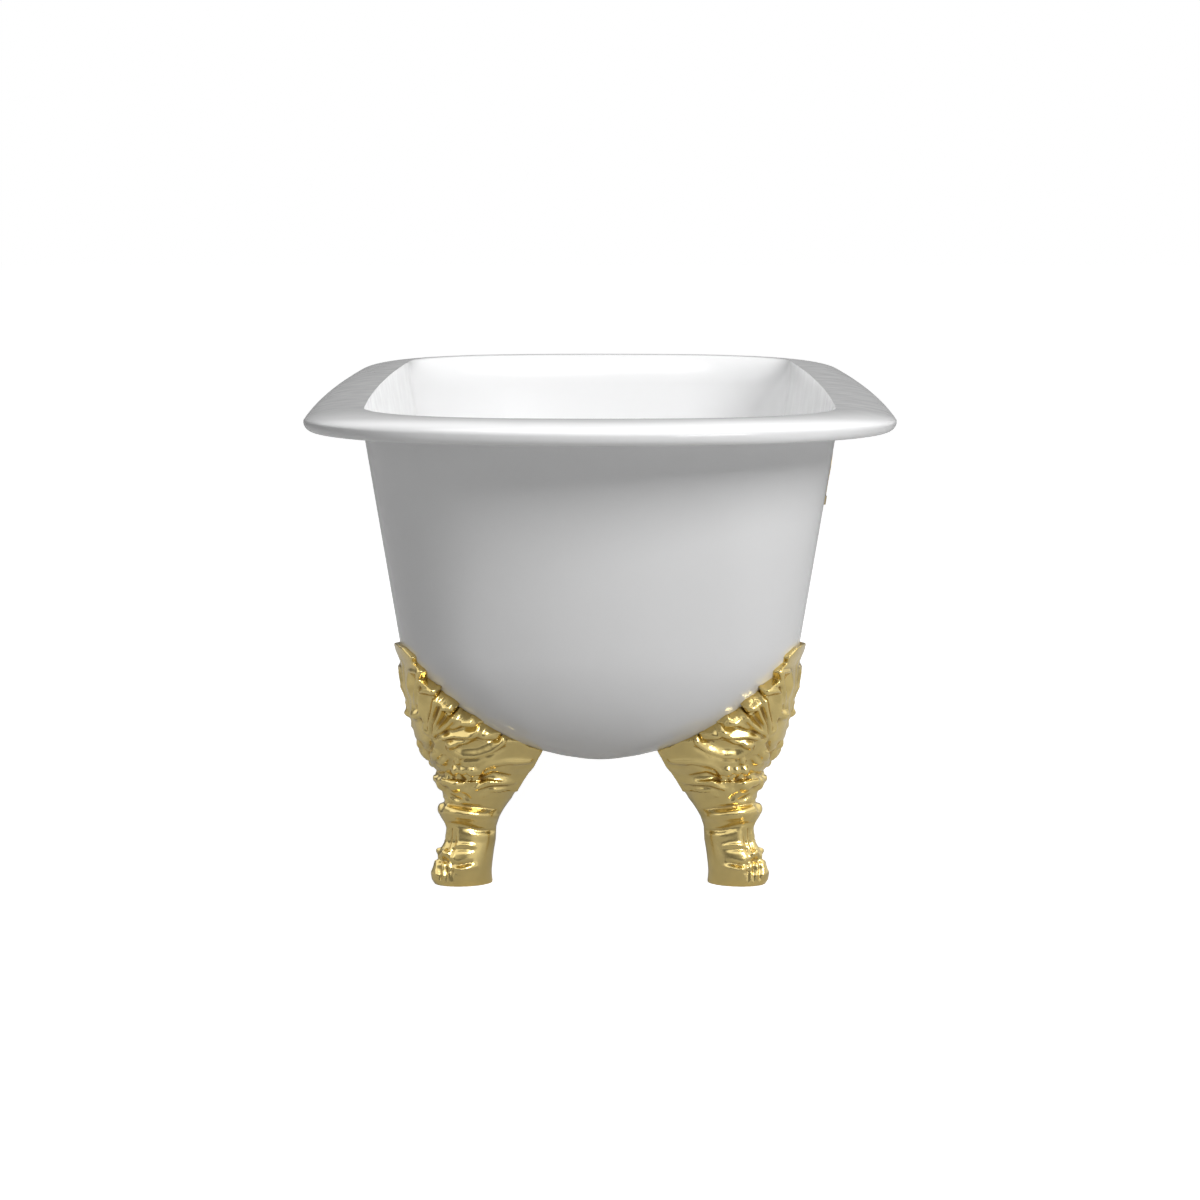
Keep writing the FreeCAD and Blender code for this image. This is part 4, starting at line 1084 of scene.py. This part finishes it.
# In metres, each lamp's side, place and aim. Its watts are the stage's setting of that name.
LAMPS = {
    "key": (1.5, (2.0, -3.5, 2.5), (0, 0, 0.35)),
    "top": (2.6, (0.3, 0.4, 3.2), (0, 0, 0.3)),
    "fill": (1.6, (-3.0, -2.2, 1.4), (0, 0, 0.35)),
}
# Half the floor's side, in metres.
FLOOR_REACH = 30
# Width of the camera's sensor, in mm.
SENSOR = 36


def lamp(name, watts, size, at, towards):
    """A soft square lamp."""
    light = bpy.data.lights.new(name, "AREA")
    light.energy = watts
    light.shape = "RECTANGLE"
    light.size = light.size_y = size
    source = bpy.data.objects.new(name, light)
    source.location = at
    source.rotation_euler = (Vector(towards) - Vector(at)).to_track_quat("-Z", "Y").to_euler()
    bpy.context.scene.collection.objects.link(source)


class BATHTUB_OT_stage(bpy.types.Operator):
    """Pale floor, soft lamps and the camera"""
    bl_idname = "bathtub.stage"
    bl_label = "Set the stage"

    def execute(self, context):
        scene = context.scene
        stage = scene.stage_settings
        camera = bpy.data.objects.new("camera", bpy.data.cameras.new("camera"))
        scene.collection.objects.link(camera)
        camera.data.lens = stage.lens
        camera.data.sensor_width = SENSOR
        camera.location = (0, -stage.distance, stage.eye)
        camera.rotation_euler = (math.pi / 2 - stage.pitch, 0, 0)
        camera.data.clip_end = 100
        scene.camera = camera
        corners = [(x * FLOOR_REACH, y * FLOOR_REACH, 0) for x, y in ((-1, -1), (1, -1), (1, 1), (-1, 1))]
        floor = link("studio_floor", mesh_from("studio_floor", corners, [[0, 1, 2, 3]]))
        floor.data.materials.append(floor_material(stage.floor))
        for name, (size, at, towards) in LAMPS.items():
            lamp(name + "_lamp", getattr(stage, name), size, at, towards)
        world = bpy.data.worlds.new("studio")
        scene.world = world
        world.use_nodes = True
        tree = world.node_tree
        gloss = lifted_rays(tree, 1.0, studio_gloss(tree))
        feed(tree, tree.nodes["Background"], {"Color": (1, 1, 1, 1), "Strength": gloss.most(stage.sky)})
        scene.view_settings.view_transform = "Standard"
        return {"FINISHED"}


# -------------------- panel and registration

class BATHTUB_PT_panel(bpy.types.Panel):
    """The bathtub's operators and sizes"""
    bl_label = "Bathtub"
    bl_idname = "BATHTUB_PT_panel"
    bl_space_type = "VIEW_3D"
    bl_region_type = "UI"
    bl_category = "Bathtub"

    def draw(self, context):
        for step in STEPS:
            self.layout.operator(step.bl_idname)
        for group in GROUPS:
            box = self.layout.box()
            box.label(text=group)
            for size in GROUPS[group].__annotations__:
                box.prop(getattr(context.scene, group), size)


STEPS = (BATHTUB_OT_tub, BATHTUB_OT_feet, BATHTUB_OT_fittings, BATHTUB_OT_stage)
GROUPS = {"tub_sizes": TubSizes, "foot_sizes": FootSizes, "fitting_colours": FittingColours,
          "stage_settings": StageSettings}


def register():
    """Adds the classes, and the groups of sizes to the scene."""
    for kind in (*GROUPS.values(), *STEPS, BATHTUB_PT_panel):
        bpy.utils.register_class(kind)
    for name, kind in GROUPS.items():
        setattr(bpy.types.Scene, name, PointerProperty(type=kind))


def unregister():
    """Takes away what register added."""
    for name in GROUPS:
        delattr(bpy.types.Scene, name)
    for kind in (BATHTUB_PT_panel, *reversed(STEPS), *reversed(GROUPS.values())):
        bpy.utils.unregister_class(kind)


def main():
    """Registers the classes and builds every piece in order."""
    register()
    bpy.ops.bathtub.stage()
    bpy.ops.bathtub.tub()
    bpy.ops.bathtub.feet()
    bpy.ops.bathtub.fittings()


if __name__ == "__main__":
    main()
